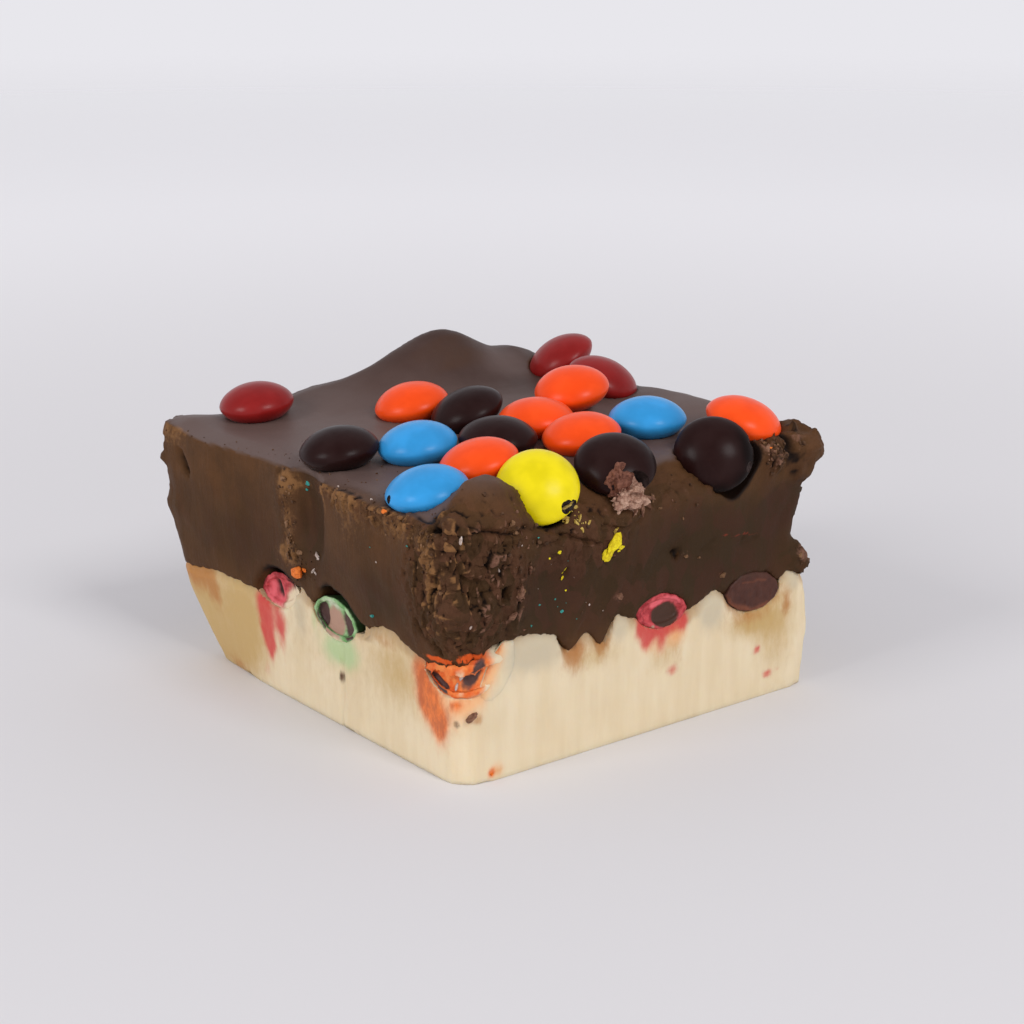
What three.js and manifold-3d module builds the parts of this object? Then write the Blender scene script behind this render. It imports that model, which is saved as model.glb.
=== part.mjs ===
// A square of two-layer fudge: a pale cream fudge base, a dark chocolate fudge layer
// over it, and small sugar-shelled chocolate lentils pressed into the top and caught,
// cut through, in the seam between the layers. Millimetres, +Z up. The base stands on
// Z = 0; the front face looks along -Y and the left face along -X.

import * as THREE from 'three';
import { ImprovedNoise } from 'three/addons/math/ImprovedNoise.js';
import { mergeVertices } from 'three/addons/utils/BufferGeometryUtils.js';
import Module from 'manifold-3d';

const wasm = await Module();
wasm.setup();

const { smoothstep, lerp, degToRad } = THREE.MathUtils;
const noise = new ImprovedNoise();

// ---------------------------------------------------------------- driving dimensions

const WIDTH = 54;
const DEPTH = 55;
const SEAM_HEIGHT = 13.4;
const SEAM_GAP = 0.3;
const TOP_HEIGHT = 30.3;
const TOP_RISE_X = 2.4;
const TOP_RISE_Y = 0.8;

const CORNER_RADIUS = { frontLeft: 3.6, frontRight: 1.4, backLeft: 2.6, backRight: 3.0 };
const CELLS_ACROSS = 24;
const CREAM_CELLS_UP = 4;
const CHOCOLATE_CELLS_UP = 7;

// How far in from a face its relief and the waves of the seam die away.
const RELIEF_DEPTH = 7;
const SEAM_WAVE_DEPTH = 8;

// The cut cream is smoother than the broken chocolate, which takes on its full
// roughness this share of the way up from the seam.
const CREAM_ROUGHNESS = 0.3;
const ROUGH_FROM = 0.25;

const LENTIL_RADIUS = 4.75;
const LENTIL_HALF_THICKNESS = 2.6;
const LENTIL_ROUNDNESS = 1.2;
const LENTIL_SIDES = 14;
const LENTIL_BANDS = 6;
const LENTIL_CLEARANCE = 0.35;
const SHELL_THICKNESS = 0.65;
const FILLING_RECESS = 0.5;
const HOLE_LEVEL = 0.9;
const BREAK_LEAN = 20;

const HALF_WIDTH = WIDTH / 2;
const HALF_DEPTH = DEPTH / 2;

// ---------------------------------------------------------------- lists of form
// Each entry is one soft swelling or hollow, fading as a bell curve over its reach.

// Rises and drips of the seam along the front face (at is X) and the left face (at is Y).
const FRONT_SEAM_WAVES = [
  { at: -22.5, rise: 3.4, reach: 2.6 },
  { at: -16.0, rise: 1.8, reach: 4.2 },
  { at: -10.8, rise: -4.0, reach: 1.6 },
  { at: -6.8, rise: -2.6, reach: 1.3 },
  { at: -4.0, rise: 2.4, reach: 1.9 },
  { at: 2.4, rise: -1.0, reach: 2.4 },
  { at: 10.8, rise: 2.2, reach: 2.2 },
  { at: 17.2, rise: -1.6, reach: 3.0 },
  { at: 24.0, rise: 2.4, reach: 2.6 },
];
const LEFT_SEAM_WAVES = [
  { at: -20.5, rise: 1.2, reach: 2.6 },
  { at: -14.5, rise: 1.8, reach: 4.0 },
  { at: -2.9, rise: 0.4, reach: 3.4 },
  { at: 4.2, rise: 2.2, reach: 1.8 },
  { at: 12.5, rise: -1.6, reach: 3.6 },
  { at: 28.0, rise: -0.7, reach: 6.0 },
];

// Swellings of the top surface.
const TOP_HEAPS = [
  { x: 8.4, y: 24.5, rise: 6.3, reachX: 8.2, reachY: 6.0 },
  { x: 20.5, y: 23.5, rise: 2.2, reachX: 4.5, reachY: 5.0 },
  { x: -7.0, y: 27.0, rise: 2.2, reachX: 9.0, reachY: 6.0 },
  { x: -21.5, y: -23.5, rise: 2.4, reachX: 3.4, reachY: 2.8 },
  { x: 24.5, y: -25.5, rise: 1.3, reachX: 3.4, reachY: 3.4 },
  { x: 11.5, y: -0.5, rise: 1.2, reachX: 4.5, reachY: 4.5 },
];

// The crumbled front edge of the top falls away along this stretch of X.
const FRONT_BEVEL = { from: -19, to: 17, fade: 4, drop: 3.0, depth: 5.0, uneven: 0.35 };
const EDGE_ROUNDING = { drop: 0.9, depth: 2.4, overhang: 1 };

// Gentle unevenness: rise is its height and span the width of one swell.
const SEAM_SWELL = { rise: 0.9, span: 9 };
const TOP_SWELL = { rise: 0.25, span: 8 };

// The crags of the break: how rough the faces are everywhere, how much more so round
// the front left corner, and how much more so on the two far faces.
const CRAGS = {
  everywhere: 0.25,
  corner: { more: 0.9, inset: 4, reachX: 12, reachY: 6 },
  far: { more: 0.5, from: 20 },
  coarse: { rise: 1.1, span: 4.2, spanUp: 5.0 },
  fine: { rise: 0.5, span: 2.1, spanUp: 2.4, offset: 7 },
};

// Relief of each upright face: push is outward, along runs with the face.
const LEFT_RELIEF = [
  { along: 1.2, z: 24.5, push: -1.4, reachAlong: 2.6, reachZ: 5.5 },
  { along: -12.0, z: 24.0, push: 0.7, reachAlong: 9.0, reachZ: 9.0 },
  { along: 31.0, z: 25.4, push: -1.4, reachAlong: 1.8, reachZ: 2.6 },
  { along: 7.0, z: 28.0, push: 0.5, reachAlong: 2.0, reachZ: 2.4 },
];
const FRONT_RELIEF = [
  { along: -21.0, z: 27.0, push: 0.9, reachAlong: 4.5, reachZ: 5.0 },
  { along: -14.5, z: 22.0, push: -0.7, reachAlong: 2.6, reachZ: 3.2 },
  { along: 4.0, z: 21.3, push: -0.9, reachAlong: 2.0, reachZ: 1.8 },
  { along: 24.5, z: 17.3, push: 0.6, reachAlong: 1.8, reachZ: 1.6 },
  { along: 26.0, z: 30.0, push: 1.0, reachAlong: 4.0, reachZ: 3.4 },
];
const RIGHT_RELIEF = [
  { along: -24.0, z: 20.5, push: -3.2, reachAlong: 9.0, reachZ: 4.6 },
  { along: -26.0, z: 29.8, push: 3.3, reachAlong: 6.0, reachZ: 3.2 },
  { along: -2.0, z: 21.5, push: -1.7, reachAlong: 7.0, reachZ: 5.5 },
  { along: 9.0, z: 26.0, push: 0.8, reachAlong: 5.0, reachZ: 4.5 },
  { along: 19.0, z: 20.0, push: -1.4, reachAlong: 4.5, reachZ: 4.5 },
  { along: -8.0, z: 6.0, push: 0.5, reachAlong: 12.0, reachZ: 5.0 },
  { along: -26.0, z: 8.0, push: 0.9, reachAlong: 6.0, reachZ: 4.5 },
];
const BACK_RELIEF = [
  { along: -14.0, z: 23.0, push: -1.1, reachAlong: 5.0, reachZ: 5.0 },
  { along: -2.0, z: 27.0, push: 0.9, reachAlong: 4.5, reachZ: 4.0 },
  { along: 9.0, z: 20.0, push: -1.3, reachAlong: 4.0, reachZ: 4.5 },
  { along: 18.0, z: 26.0, push: 0.8, reachAlong: 4.0, reachZ: 4.0 },
];

// The back left corner flares out as it rises, and the whole left face leans out.
const BACK_LEFT_FLARE = { left: 2.4, back: 4.6, height: 15, fadeFrom: 8, fadeTo: 4, base: -0.9 };
const FLARE_CURVE = 1.5;
const LEFT_LEAN = { out: 1.1, from: 6, to: 26 };

// ---------------------------------------------------------------- lentils
// lean is the tilt from level in degrees, toward the compass direction given by
// toward (0 is +X, 90 is +Y); lift raises a lentil that lies on its neighbours.

const SHELLS = {
  red: { color: 0x8a1c1a, roughness: 0.25 },
  orange: { color: 0xf0581f, roughness: 0.25 },
  blue: { color: 0x3a93d6, roughness: 0.25 },
  brown: { color: 0x35211f, roughness: 0.25 },
  yellow: { color: 0xf0dc12, roughness: 0.25 },
  green: { color: 0x47c850, roughness: 0.25 },
};
const CREAM = { color: 0xe2d2ae, roughness: 0.6 };
const CHOCOLATE = { color: 0x3f2a20, roughness: 0.5 };

const SEAT_DEPTH = 0.8;

const TOP_LENTILS = [
  { name: 'lentil_red_1', colour: 'red', x: -20.2, y: 24.7, lean: 7, toward: -177 },
  { name: 'lentil_red_2', colour: 'red', x: 22.8, y: 16.1, lean: 29, toward: 153, lift: 0.1 },
  { name: 'lentil_red_3', colour: 'red', x: 19.5, y: 3.4, lean: 22, toward: -59, lift: 0.1 },
  { name: 'lentil_orange_1', colour: 'orange', x: -5.0, y: 12.1, lean: 12, toward: 166, lift: -0.3 },
  { name: 'lentil_orange_2', colour: 'orange', x: -14.9, y: -14.9, lean: 15, toward: 154 },
  { name: 'lentil_orange_3', colour: 'orange', x: 1.5, y: -5.0, lean: 3, toward: 180 },
  { name: 'lentil_orange_4', colour: 'orange', x: 10.1, y: -1.5, lean: 14, toward: -162, lift: 0.5 },
  { name: 'lentil_orange_5', colour: 'orange', x: 0.8, y: -14.5, lean: 8, toward: 163, lift: 0.1 },
  { name: 'lentil_orange_6', colour: 'orange', x: 20.0, y: -22.2, lean: 17, toward: -56, lift: -0.2 },
  { name: 'lentil_blue_1', colour: 'blue', x: -15.8, y: -4.3, lean: 8, toward: 166 },
  { name: 'lentil_blue_2', colour: 'blue', x: -23.8, y: -17.3, lean: 11, toward: 169, lift: -0.8 },
  { name: 'lentil_blue_3', colour: 'blue', x: 11.3, y: -14.5, lean: 2, toward: -132, lift: 0.1 },
  { name: 'lentil_brown_1', colour: 'brown', x: -23.5, y: 0.7, lean: 8, toward: 168 },
  { name: 'lentil_brown_2', colour: 'brown', x: -3.1, y: 3.0, lean: 22, toward: 162, lift: 0.3 },
  { name: 'lentil_brown_3', colour: 'brown', x: -7.3, y: -8.8, lean: 3, toward: -128 },
  { name: 'lentil_brown_4', colour: 'brown', x: -2.4, y: -24.3, lean: 30, toward: -124, lift: -0.8,
    breaks: [{ kind: 'side', angle: -38, reach: 2.4 }] },
  { name: 'lentil_brown_5', colour: 'brown', x: 12.2, y: -25.2, lean: 58, toward: -130, lift: -2.3 },
  { name: 'lentil_yellow_1', colour: 'yellow', x: -13.4, y: -23.8, lean: 47, toward: -129, lift: -1.2,
    breaks: [{ kind: 'hole', angle: -80, reach: 3.9, radius: 1.1 }] },
];

// Lentils in the seam, trimmed flush with the faces of the block.
const CUT_LENTILS = [
  { name: 'cut_lentil_red_1', colour: 'red', x: -29.0, y: 9.3, z: 13.7, lean: 8, toward: 90,
    hollow: true },
  { name: 'cut_lentil_green_1', colour: 'green', x: -27.0, y: -2.9, z: 13.3, lean: 4, toward: -60,
    hollow: true },
  { name: 'cut_lentil_orange_1', colour: 'orange', x: -23.6, y: -24.1, z: 13.2, lean: 30, toward: -150,
    hollow: true },
  { name: 'cut_lentil_red_2', colour: 'red', x: 2.4, y: -29.6, z: 14.7, lean: 6, toward: 0,
    hollow: true },
  { name: 'cut_lentil_brown_1', colour: 'brown', x: 17.4, y: -26.4, z: 14.0, lean: 5, toward: 0 },
];

// ---------------------------------------------------------------- shape functions

function bell(distance, reach) {
  return Math.exp(-((distance / reach) ** 2));
}

function waveSum(waves, at) {
  return waves.reduce((sum, wave) => sum + wave.rise * bell(at - wave.at, wave.reach), 0);
}

function reliefSum(relief, along, z) {
  let push = 0;
  for (const form of relief) {
    push += form.push * bell(along - form.along, form.reachAlong) * bell(z - form.z, form.reachZ);
  }
  return push;
}

function swellAt({ rise, span }, x, y) {
  return rise * noise.noise(x / span, y / span, span);
}

function fromLeft(x) {
  return x + HALF_WIDTH;
}

function fromFront(y) {
  return y + HALF_DEPTH;
}

function seamHeight(x, y) {
  const nearFront = bell(Math.max(fromFront(y), 0), SEAM_WAVE_DEPTH);
  const nearLeft = bell(Math.max(fromLeft(x), 0), SEAM_WAVE_DEPTH);
  const front = waveSum(FRONT_SEAM_WAVES, x) * nearFront;
  const left = waveSum(LEFT_SEAM_WAVES, y) * nearLeft;
  const share = nearFront + nearLeft > 1 ? 1 / (nearFront + nearLeft) : 1;
  const swell = swellAt(SEAM_SWELL, x, y) * (1 - nearFront) * (1 - nearLeft);
  return SEAM_HEIGHT + (front + left) * share + swell;
}

function topHeight(x, y) {
  let height = TOP_HEIGHT + (TOP_RISE_X * fromLeft(x)) / WIDTH + (TOP_RISE_Y * fromFront(y)) / DEPTH;
  for (const heap of TOP_HEAPS) {
    height += heap.rise * bell(x - heap.x, heap.reachX) * bell(y - heap.y, heap.reachY);
  }
  return height + swellAt(TOP_SWELL, x, y);
}

function edgeDrop(x, y) {
  const { from, to, fade, drop, depth, uneven } = FRONT_BEVEL;
  const stretch = smoothstep(x, from, from + fade) * (1 - smoothstep(x, to - fade, to));
  const ragged = 1 + uneven * noise.noise(x / fade, depth, drop);
  const bevel = 1 - smoothstep(fromFront(y), 0, depth);
  const nearestEdge = Math.min(
    fromFront(y), fromLeft(x), HALF_WIDTH - x, HALF_DEPTH - y);
  const rounding = 1 - smoothstep(nearestEdge, -EDGE_ROUNDING.overhang, EDGE_ROUNDING.depth);
  return drop * stretch * ragged * bevel + EDGE_ROUNDING.drop * rounding;
}

// The height of the crags of the broken chocolate.
function cragHeight(x, y, z) {
  const { everywhere, corner, far, coarse, fine } = CRAGS;
  const nearCorner = bell(fromLeft(x) - corner.inset, corner.reachX)
    * bell(fromFront(y), corner.reachY);
  const farSide = Math.max(
    smoothstep(x, far.from, HALF_WIDTH), smoothstep(y, far.from, HALF_DEPTH));
  const amount = everywhere + corner.more * nearCorner + far.more * farSide;
  const large = noise.noise(x / coarse.span, y / coarse.span, z / coarse.spanUp);
  const small = noise.noise(x / fine.span + fine.offset, y / fine.span, z / fine.spanUp);
  return amount * (coarse.rise * large + fine.rise * small);
}

function cornerRadius(x, y) {
  if (y < 0) {
    return x < 0 ? CORNER_RADIUS.frontLeft : CORNER_RADIUS.frontRight;
  }
  return x < 0 ? CORNER_RADIUS.backLeft : CORNER_RADIUS.backRight;
}

// Rounds the corners of the square plan, drawing the points near them in.
function roundCorner(point) {
  const radius = cornerRadius(point.x, point.y);
  const overX = Math.abs(point.x) - (HALF_WIDTH - radius);
  const overY = Math.abs(point.y) - (HALF_DEPTH - radius);
  if (overX > 0 && overY > 0) {
    const shrink = Math.max(overX, overY) / Math.hypot(overX, overY);
    point.x = Math.sign(point.x) * (HALF_WIDTH - radius + overX * shrink);
    point.y = Math.sign(point.y) * (HALF_DEPTH - radius + overY * shrink);
  }
}

// Moves a point of the plain block outward or inward with the relief of each face.
function pushFaces(point, rough) {
  const { x, y, z } = point;
  const atLeft = 1 - smoothstep(fromLeft(x), 0, RELIEF_DEPTH);
  const atFront = 1 - smoothstep(fromFront(y), 0, RELIEF_DEPTH);
  const atRight = 1 - smoothstep(HALF_WIDTH - x, 0, RELIEF_DEPTH);
  const atBack = 1 - smoothstep(HALF_DEPTH - y, 0, RELIEF_DEPTH);
  const crag = rough * cragHeight(x, y, z);

  const { left, back, height, fadeFrom, fadeTo, base } = BACK_LEFT_FLARE;
  const risen = 1 - (1 - Math.min(z / height, 1)) ** FLARE_CURVE;
  const flareLeft = smoothstep(y, fadeFrom, HALF_DEPTH) * lerp(base, left, risen);
  const flareBack = (1 - smoothstep(x, -HALF_WIDTH, fadeTo)) * lerp(base, back, risen);
  const lean = LEFT_LEAN.out * smoothstep(z, LEFT_LEAN.from, LEFT_LEAN.to);

  point.x -= atLeft * (reliefSum(LEFT_RELIEF, y, z) + lean + flareLeft + crag);
  point.y -= atFront * (reliefSum(FRONT_RELIEF, x, z) + crag);
  point.x += atRight * (reliefSum(RIGHT_RELIEF, y, z) + crag);
  point.y += atBack * (reliefSum(BACK_RELIEF, x, z) + flareBack + crag);
}

// A block of cells whose every point is placed by shape(point, level), with level 0 at
// the underside and 1 on top.
function layerGeometry(cellsUp, shape) {
  const geometry = new THREE.BoxGeometry(2, 2, 1, CELLS_ACROSS, CELLS_ACROSS, cellsUp);
  const position = geometry.attributes.position;
  const point = new THREE.Vector3();
  const snap = (value, cells) => Math.round(value * cells) / cells;
  for (let i = 0; i < position.count; i += 1) {
    point.fromBufferAttribute(position, i);
    const level = snap(point.z + 0.5, cellsUp);
    point.x = snap(point.x, CELLS_ACROSS) * HALF_WIDTH;
    point.y = snap(point.y, CELLS_ACROSS) * HALF_DEPTH;
    shape(point, level);
    position.setXYZ(i, point.x, point.y, point.z);
  }
  return geometry;
}

function shapeCream(point, level) {
  roundCorner(point);
  point.z = level * seamHeight(point.x, point.y);
  pushFaces(point, CREAM_ROUGHNESS * level);
  point.z -= (level * SEAM_GAP) / 2;
}

function shapeChocolate(point, level) {
  roundCorner(point);
  const top = topHeight(point.x, point.y) - edgeDrop(point.x, point.y);
  point.z = lerp(seamHeight(point.x, point.y), top, level);
  pushFaces(point, lerp(CREAM_ROUGHNESS, 1, smoothstep(level, 0, ROUGH_FROM)));
  point.z += ((1 - level) * SEAM_GAP) / 2;
}

// ---------------------------------------------------------------- solids

function solidFrom(geometry) {
  const bare = geometry.clone();
  bare.deleteAttribute('normal');
  bare.deleteAttribute('uv');
  const merged = mergeVertices(bare, 1e-4);
  return new wasm.Manifold(new wasm.Mesh({
    numProp: 3,
    vertProperties: new Float32Array(merged.attributes.position.array),
    triVerts: new Uint32Array(merged.index.array),
  }));
}

function geometryFrom(solid) {
  const mesh = solid.getMesh();
  const geometry = new THREE.BufferGeometry();
  geometry.setAttribute('position', new THREE.BufferAttribute(mesh.vertProperties, 3));
  geometry.setIndex(new THREE.BufferAttribute(mesh.triVerts, 1));
  geometry.computeVertexNormals();
  return geometry;
}

// A lentil grown by extra all round: a sphere flattened to a lens with a tight rim.
function lentilGeometry(extra = 0) {
  const geometry = new THREE.SphereGeometry(1, LENTIL_SIDES, LENTIL_BANDS);
  geometry.rotateX(Math.PI / 2);
  const position = geometry.attributes.position;
  const radius = LENTIL_RADIUS + extra;
  const half = LENTIL_HALF_THICKNESS + extra;
  for (let i = 0; i < position.count; i += 1) {
    const up = position.getZ(i);
    const height = Math.sign(up) * Math.abs(up) ** LENTIL_ROUNDNESS;
    position.setXYZ(i, position.getX(i) * radius, position.getY(i) * radius, height * half);
  }
  return geometry;
}

function lentilPlacement(lentil) {
  const lean = degToRad(lentil.lean);
  const toward = degToRad(lentil.toward);
  const up = new THREE.Vector3(
    Math.sin(lean) * Math.cos(toward), Math.sin(lean) * Math.sin(toward), Math.cos(lean));
  const turn = new THREE.Quaternion().setFromUnitVectors(new THREE.Vector3(0, 0, 1), up);
  const seat = topHeight(lentil.x, lentil.y) + LENTIL_HALF_THICKNESS - SEAT_DEPTH;
  const z = lentil.z ?? seat + (lentil.lift ?? 0);
  return { position: new THREE.Vector3(lentil.x, lentil.y, z), turn };
}

function placed(geometry, { position, turn }) {
  const matrix = new THREE.Matrix4().compose(position, turn, new THREE.Vector3(1, 1, 1));
  return geometry.clone().applyMatrix4(matrix);
}

// What is missing from a broken lentil, in the lentil's own frame: a round hole in its
// upper side, or everything beyond a leaning plane, reach away from its middle.
function breakSolid({ kind, angle, reach, radius }) {
  const turn = degToRad(angle);
  if (kind === 'hole') {
    const ball = new THREE.IcosahedronGeometry(radius, 1);
    ball.translate(Math.cos(turn) * reach, Math.sin(turn) * reach, HOLE_LEVEL);
    return solidFrom(ball);
  }
  const slab = new THREE.BoxGeometry(LENTIL_RADIUS * 2, LENTIL_RADIUS * 3, LENTIL_RADIUS * 2);
  slab.translate(reach + LENTIL_RADIUS, 0, 0);
  slab.rotateY(-degToRad(BREAK_LEAN));
  slab.rotateZ(turn);
  return solidFrom(slab);
}

// The upright column of the block's plain outline, drawn in by inset all round.
function plainColumn(inset) {
  const column = layerGeometry(1, (point, level) => {
    roundCorner(point);
    point.x *= 1 - inset / HALF_WIDTH;
    point.y *= 1 - inset / HALF_DEPTH;
    point.z = level * TOP_HEIGHT;
  });
  return solidFrom(column);
}

function materialFor({ color, roughness }) {
  return new THREE.MeshStandardMaterial({ color, roughness, metalness: 0 });
}

function namedMesh(name, geometry, material) {
  const mesh = new THREE.Mesh(geometry, material);
  mesh.name = name;
  return mesh;
}

// ---------------------------------------------------------------- assembly

// Where the facets of a steep drip cross, the cream gives way to the chocolate.
const CROSSING_ROOM = 0.6 * SEAM_GAP;
let chocolate = solidFrom(layerGeometry(CHOCOLATE_CELLS_UP, shapeChocolate));
let cream = solidFrom(layerGeometry(CREAM_CELLS_UP, shapeCream))
  .subtract(chocolate.translate([0, 0, -CROSSING_ROOM]));
const pocketGeometry = lentilGeometry(LENTIL_CLEARANCE);
const fudge = new THREE.Group();

for (const lentil of TOP_LENTILS) {
  const placement = lentilPlacement(lentil);
  chocolate = chocolate.subtract(solidFrom(placed(pocketGeometry, placement)));
  let body = solidFrom(lentilGeometry());
  for (const missing of lentil.breaks ?? []) {
    body = body.subtract(breakSolid(missing));
  }
  const mesh = namedMesh(lentil.name, geometryFrom(body), materialFor(SHELLS[lentil.colour]));
  mesh.position.copy(placement.position);
  mesh.quaternion.copy(placement.turn);
  fudge.add(mesh);
}

// The shell of a cut lentil stands round a filling that is broken out a little way.
const faces = plainColumn(0);
const recessed = plainColumn(FILLING_RECESS);
const fillingGeometry = lentilGeometry(-SHELL_THICKNESS);
for (const lentil of CUT_LENTILS) {
  const placement = lentilPlacement(lentil);
  const pocket = solidFrom(placed(pocketGeometry, placement));
  cream = cream.subtract(pocket);
  chocolate = chocolate.subtract(pocket);
  let body = solidFrom(placed(lentilGeometry(), placement)).intersect(faces);
  if (lentil.hollow) {
    const missing = solidFrom(placed(fillingGeometry, placement)).subtract(recessed);
    body = body.subtract(missing);
  }
  fudge.add(namedMesh(lentil.name, geometryFrom(body), materialFor(SHELLS[lentil.colour])));
}

fudge.add(namedMesh('cream_layer', geometryFrom(cream), materialFor(CREAM)));
fudge.add(namedMesh('chocolate_layer', geometryFrom(chocolate), materialFor(CHOCOLATE)));

// The origin is the middle of the whole square's box, on the surface it stands on.
fudge.updateMatrixWorld(true);
const box = new THREE.Box3().setFromObject(fudge, true);
fudge.position.set(-(box.min.x + box.max.x) / 2, -(box.min.y + box.max.y) / 2, 0);

export default fudge;
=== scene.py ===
"""The looks of a two-layer fudge square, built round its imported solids.

The square is pale cream fudge under dark chocolate fudge, cut by knife on its sides and
broken at its front left corner. Small sugar-shelled lentils are pressed into its top, and
more are cut through in the seam between the layers. Blender's own unit is the metre; sizes
and places in this file are in millimetres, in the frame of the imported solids, with +Z up,
the front face toward -Y and the left face toward -X.
"""

import itertools
import logging
import math
from collections.abc import Sequence
from dataclasses import dataclass
from enum import Enum
from typing import Any

import bpy
import numpy as np
from mathutils import Matrix, Quaternion, Vector
from mathutils.bvhtree import BVHTree


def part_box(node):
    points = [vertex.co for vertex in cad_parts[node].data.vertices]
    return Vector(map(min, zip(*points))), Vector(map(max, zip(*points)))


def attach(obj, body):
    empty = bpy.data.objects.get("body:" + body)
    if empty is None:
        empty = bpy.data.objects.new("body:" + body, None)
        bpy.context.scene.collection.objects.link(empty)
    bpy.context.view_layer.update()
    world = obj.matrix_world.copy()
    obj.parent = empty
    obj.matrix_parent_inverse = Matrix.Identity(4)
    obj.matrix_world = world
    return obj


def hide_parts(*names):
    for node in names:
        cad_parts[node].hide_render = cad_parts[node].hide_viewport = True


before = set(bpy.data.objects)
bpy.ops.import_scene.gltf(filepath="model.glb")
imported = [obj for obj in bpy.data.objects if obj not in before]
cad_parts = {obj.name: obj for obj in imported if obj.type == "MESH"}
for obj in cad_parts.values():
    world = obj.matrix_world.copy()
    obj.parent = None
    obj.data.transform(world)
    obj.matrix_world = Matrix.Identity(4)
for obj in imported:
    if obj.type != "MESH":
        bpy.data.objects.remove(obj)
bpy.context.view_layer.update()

log = logging.getLogger("fudge")

Array = np.ndarray
Colour = tuple[float, float, float]
Point = tuple[float, float, float]

MM = 0.001
BODY = "root"
CUT_SEEDS = 50
CRUMB_SEEDS = 700


# ------------------------------------------------------------------ small helpers


def srgb(red: float, green: float, blue: float) -> Colour:
    """Turns a screen colour of 0 to 255 a channel into a linear colour."""
    shares = (channel / 255 for channel in (red, green, blue))
    return tuple(s / 12.92 if s <= 0.04045 else ((s + 0.055) / 1.055) ** 2.4 for s in shares)


def ramp(values: Array | float, low: float, high: float) -> Array:
    """A smooth step of values from 0 at low to 1 at high."""
    share = np.clip((values - low) / (high - low), 0.0, 1.0)
    return share * share * (3 - 2 * share)


def bell(values: Array, reach: float) -> Array:
    """A bell curve of values, 1 at zero and fading over reach."""
    return np.exp(-((values / reach) ** 2))


def compass(azimuth: float, elevation: float) -> Vector:
    """The direction toward an azimuth (0 is the front, -90 the left) and elevation in degrees."""
    around, up = math.radians(azimuth), math.radians(elevation)
    flat = math.cos(up)
    return Vector((math.sin(around) * flat, -math.cos(around) * flat, math.sin(up)))


def leaning(lean: float, toward: float) -> Quaternion:
    """The turn that tilts +Z by lean degrees toward a direction in the XY plane.

    Args:
        lean: Tilt from upright in degrees.
        toward: Direction of the tilt in degrees, 0 for +X and 90 for +Y.

    Returns:
        The turn as a quaternion.
    """
    tilt, way = math.radians(lean), math.radians(toward)
    up = Vector((math.sin(tilt) * math.cos(way), math.sin(tilt) * math.sin(way), math.cos(tilt)))
    return Vector((0, 0, 1)).rotation_difference(up)


class Face(Enum):
    """The faces of the square, each as its outward direction."""

    LEFT = (-1, 0, 0)
    RIGHT = (1, 0, 0)
    FRONT = (0, -1, 0)
    BACK = (0, 1, 0)
    TOP = (0, 0, 1)
    UNDER = (0, 0, -1)

    @property
    def out(self) -> Vector:
        """The outward direction as a vector."""
        return Vector(self.value)

    @property
    def along_axis(self) -> int:
        """The axis that runs level along an upright face: 1 for Y, 0 for X."""
        return 1 if self.value[0] else 0


LEFT, RIGHT, FRONT, BACK, TOP, UNDER = Face

UPRIGHT = (LEFT, RIGHT, FRONT, BACK)


# ------------------------------------------------------------------ noise


@dataclass(frozen=True)
class Lattice:
    """Repeatable noise, worked out from a hash of the whole-number cells of a lattice."""

    seed: int = 0

    PRIMES = (374761393, 668265263, 2246822519)
    SALT_PRIME = 3266489917
    MIXER = 1274126177
    WORD = 2**32

    def _draw(self, cells: Array, salt: int) -> Array:
        """One number from 0 to 1 for each cell, the same each time for the same salt."""
        words = cells.astype(np.int64).astype(np.uint32)
        start = ((self.seed * 101 + salt + 1) * self.SALT_PRIME) % self.WORD
        mixed = np.full(words.shape[:-1], start, np.uint32)
        for axis, prime in enumerate(self.PRIMES):
            mixed += words[..., axis] * np.uint32(prime)
        mixed ^= mixed >> np.uint32(13)
        mixed *= np.uint32(self.MIXER)
        mixed ^= mixed >> np.uint32(16)
        return mixed.astype(np.float64) / self.WORD

    def soft(self, places: Array) -> Array:
        """Smooth noise from -1 to 1 with one swell to each cell."""
        base = np.floor(places)
        part = places - base
        part = part * part * (3 - 2 * part)
        total = np.zeros(len(places))
        for corner in np.ndindex(2, 2, 2):
            share = np.prod(np.where(corner, part, 1 - part), axis=1)
            total += share * self._draw(base + corner, 0)
        return total * 2 - 1

    def fractal(self, places: Array, octaves: int = 3) -> Array:
        """Smooth noise with finer noise laid over it.

        Args:
            places: Points in lattice units.
            octaves: How many layers, each twice as fine and half as high.

        Returns:
            About -1 to 1 for each point.
        """
        total = np.zeros(len(places))
        height = 0.5
        for octave in range(octaves):
            total += height * self.soft(places * 2.0**octave + 17.3 * octave)
            height /= 2
        return total

    def facets(self, places: Array, roundness: float = 0.7, steepness: float = 1.0) -> Array:
        """A surface broken into leaning chips that meet in creases.

        Args:
            places: Points in lattice units, one chip to each cell.
            roundness: How much each chip bulges.
            steepness: How much each chip leans.

        Returns:
            The height of each point, about -1 to 1.
        """
        base = np.floor(places)
        height = np.full(len(places), -np.inf)
        for step in np.ndindex(3, 3, 3):
            cell = base + (np.array(step) - 1)
            middle = cell + np.stack([self._draw(cell, salt) for salt in (1, 2, 3)], axis=1)
            offset = places - middle
            slope = np.stack([self._draw(cell, salt) for salt in (4, 5, 6)], axis=1) * 2 - 1
            level = self._draw(cell, 7) * 1.2 - 0.6
            chip = level + steepness * np.einsum("ij,ij->i", offset, slope)
            chip -= roundness * np.einsum("ij,ij->i", offset, offset)
            height = np.maximum(height, chip)
        return height - 0.35


def drift(points: Array, size: float, seed: int, octaves: int = 3) -> Array:
    """A vector for each point, about 1 long, that changes smoothly over size millimetres."""
    parts = [Lattice(seed + axis).fractal(points / size, octaves) for axis in range(3)]
    return np.stack(parts, axis=1)


# ------------------------------------------------------------------ materials


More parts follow.
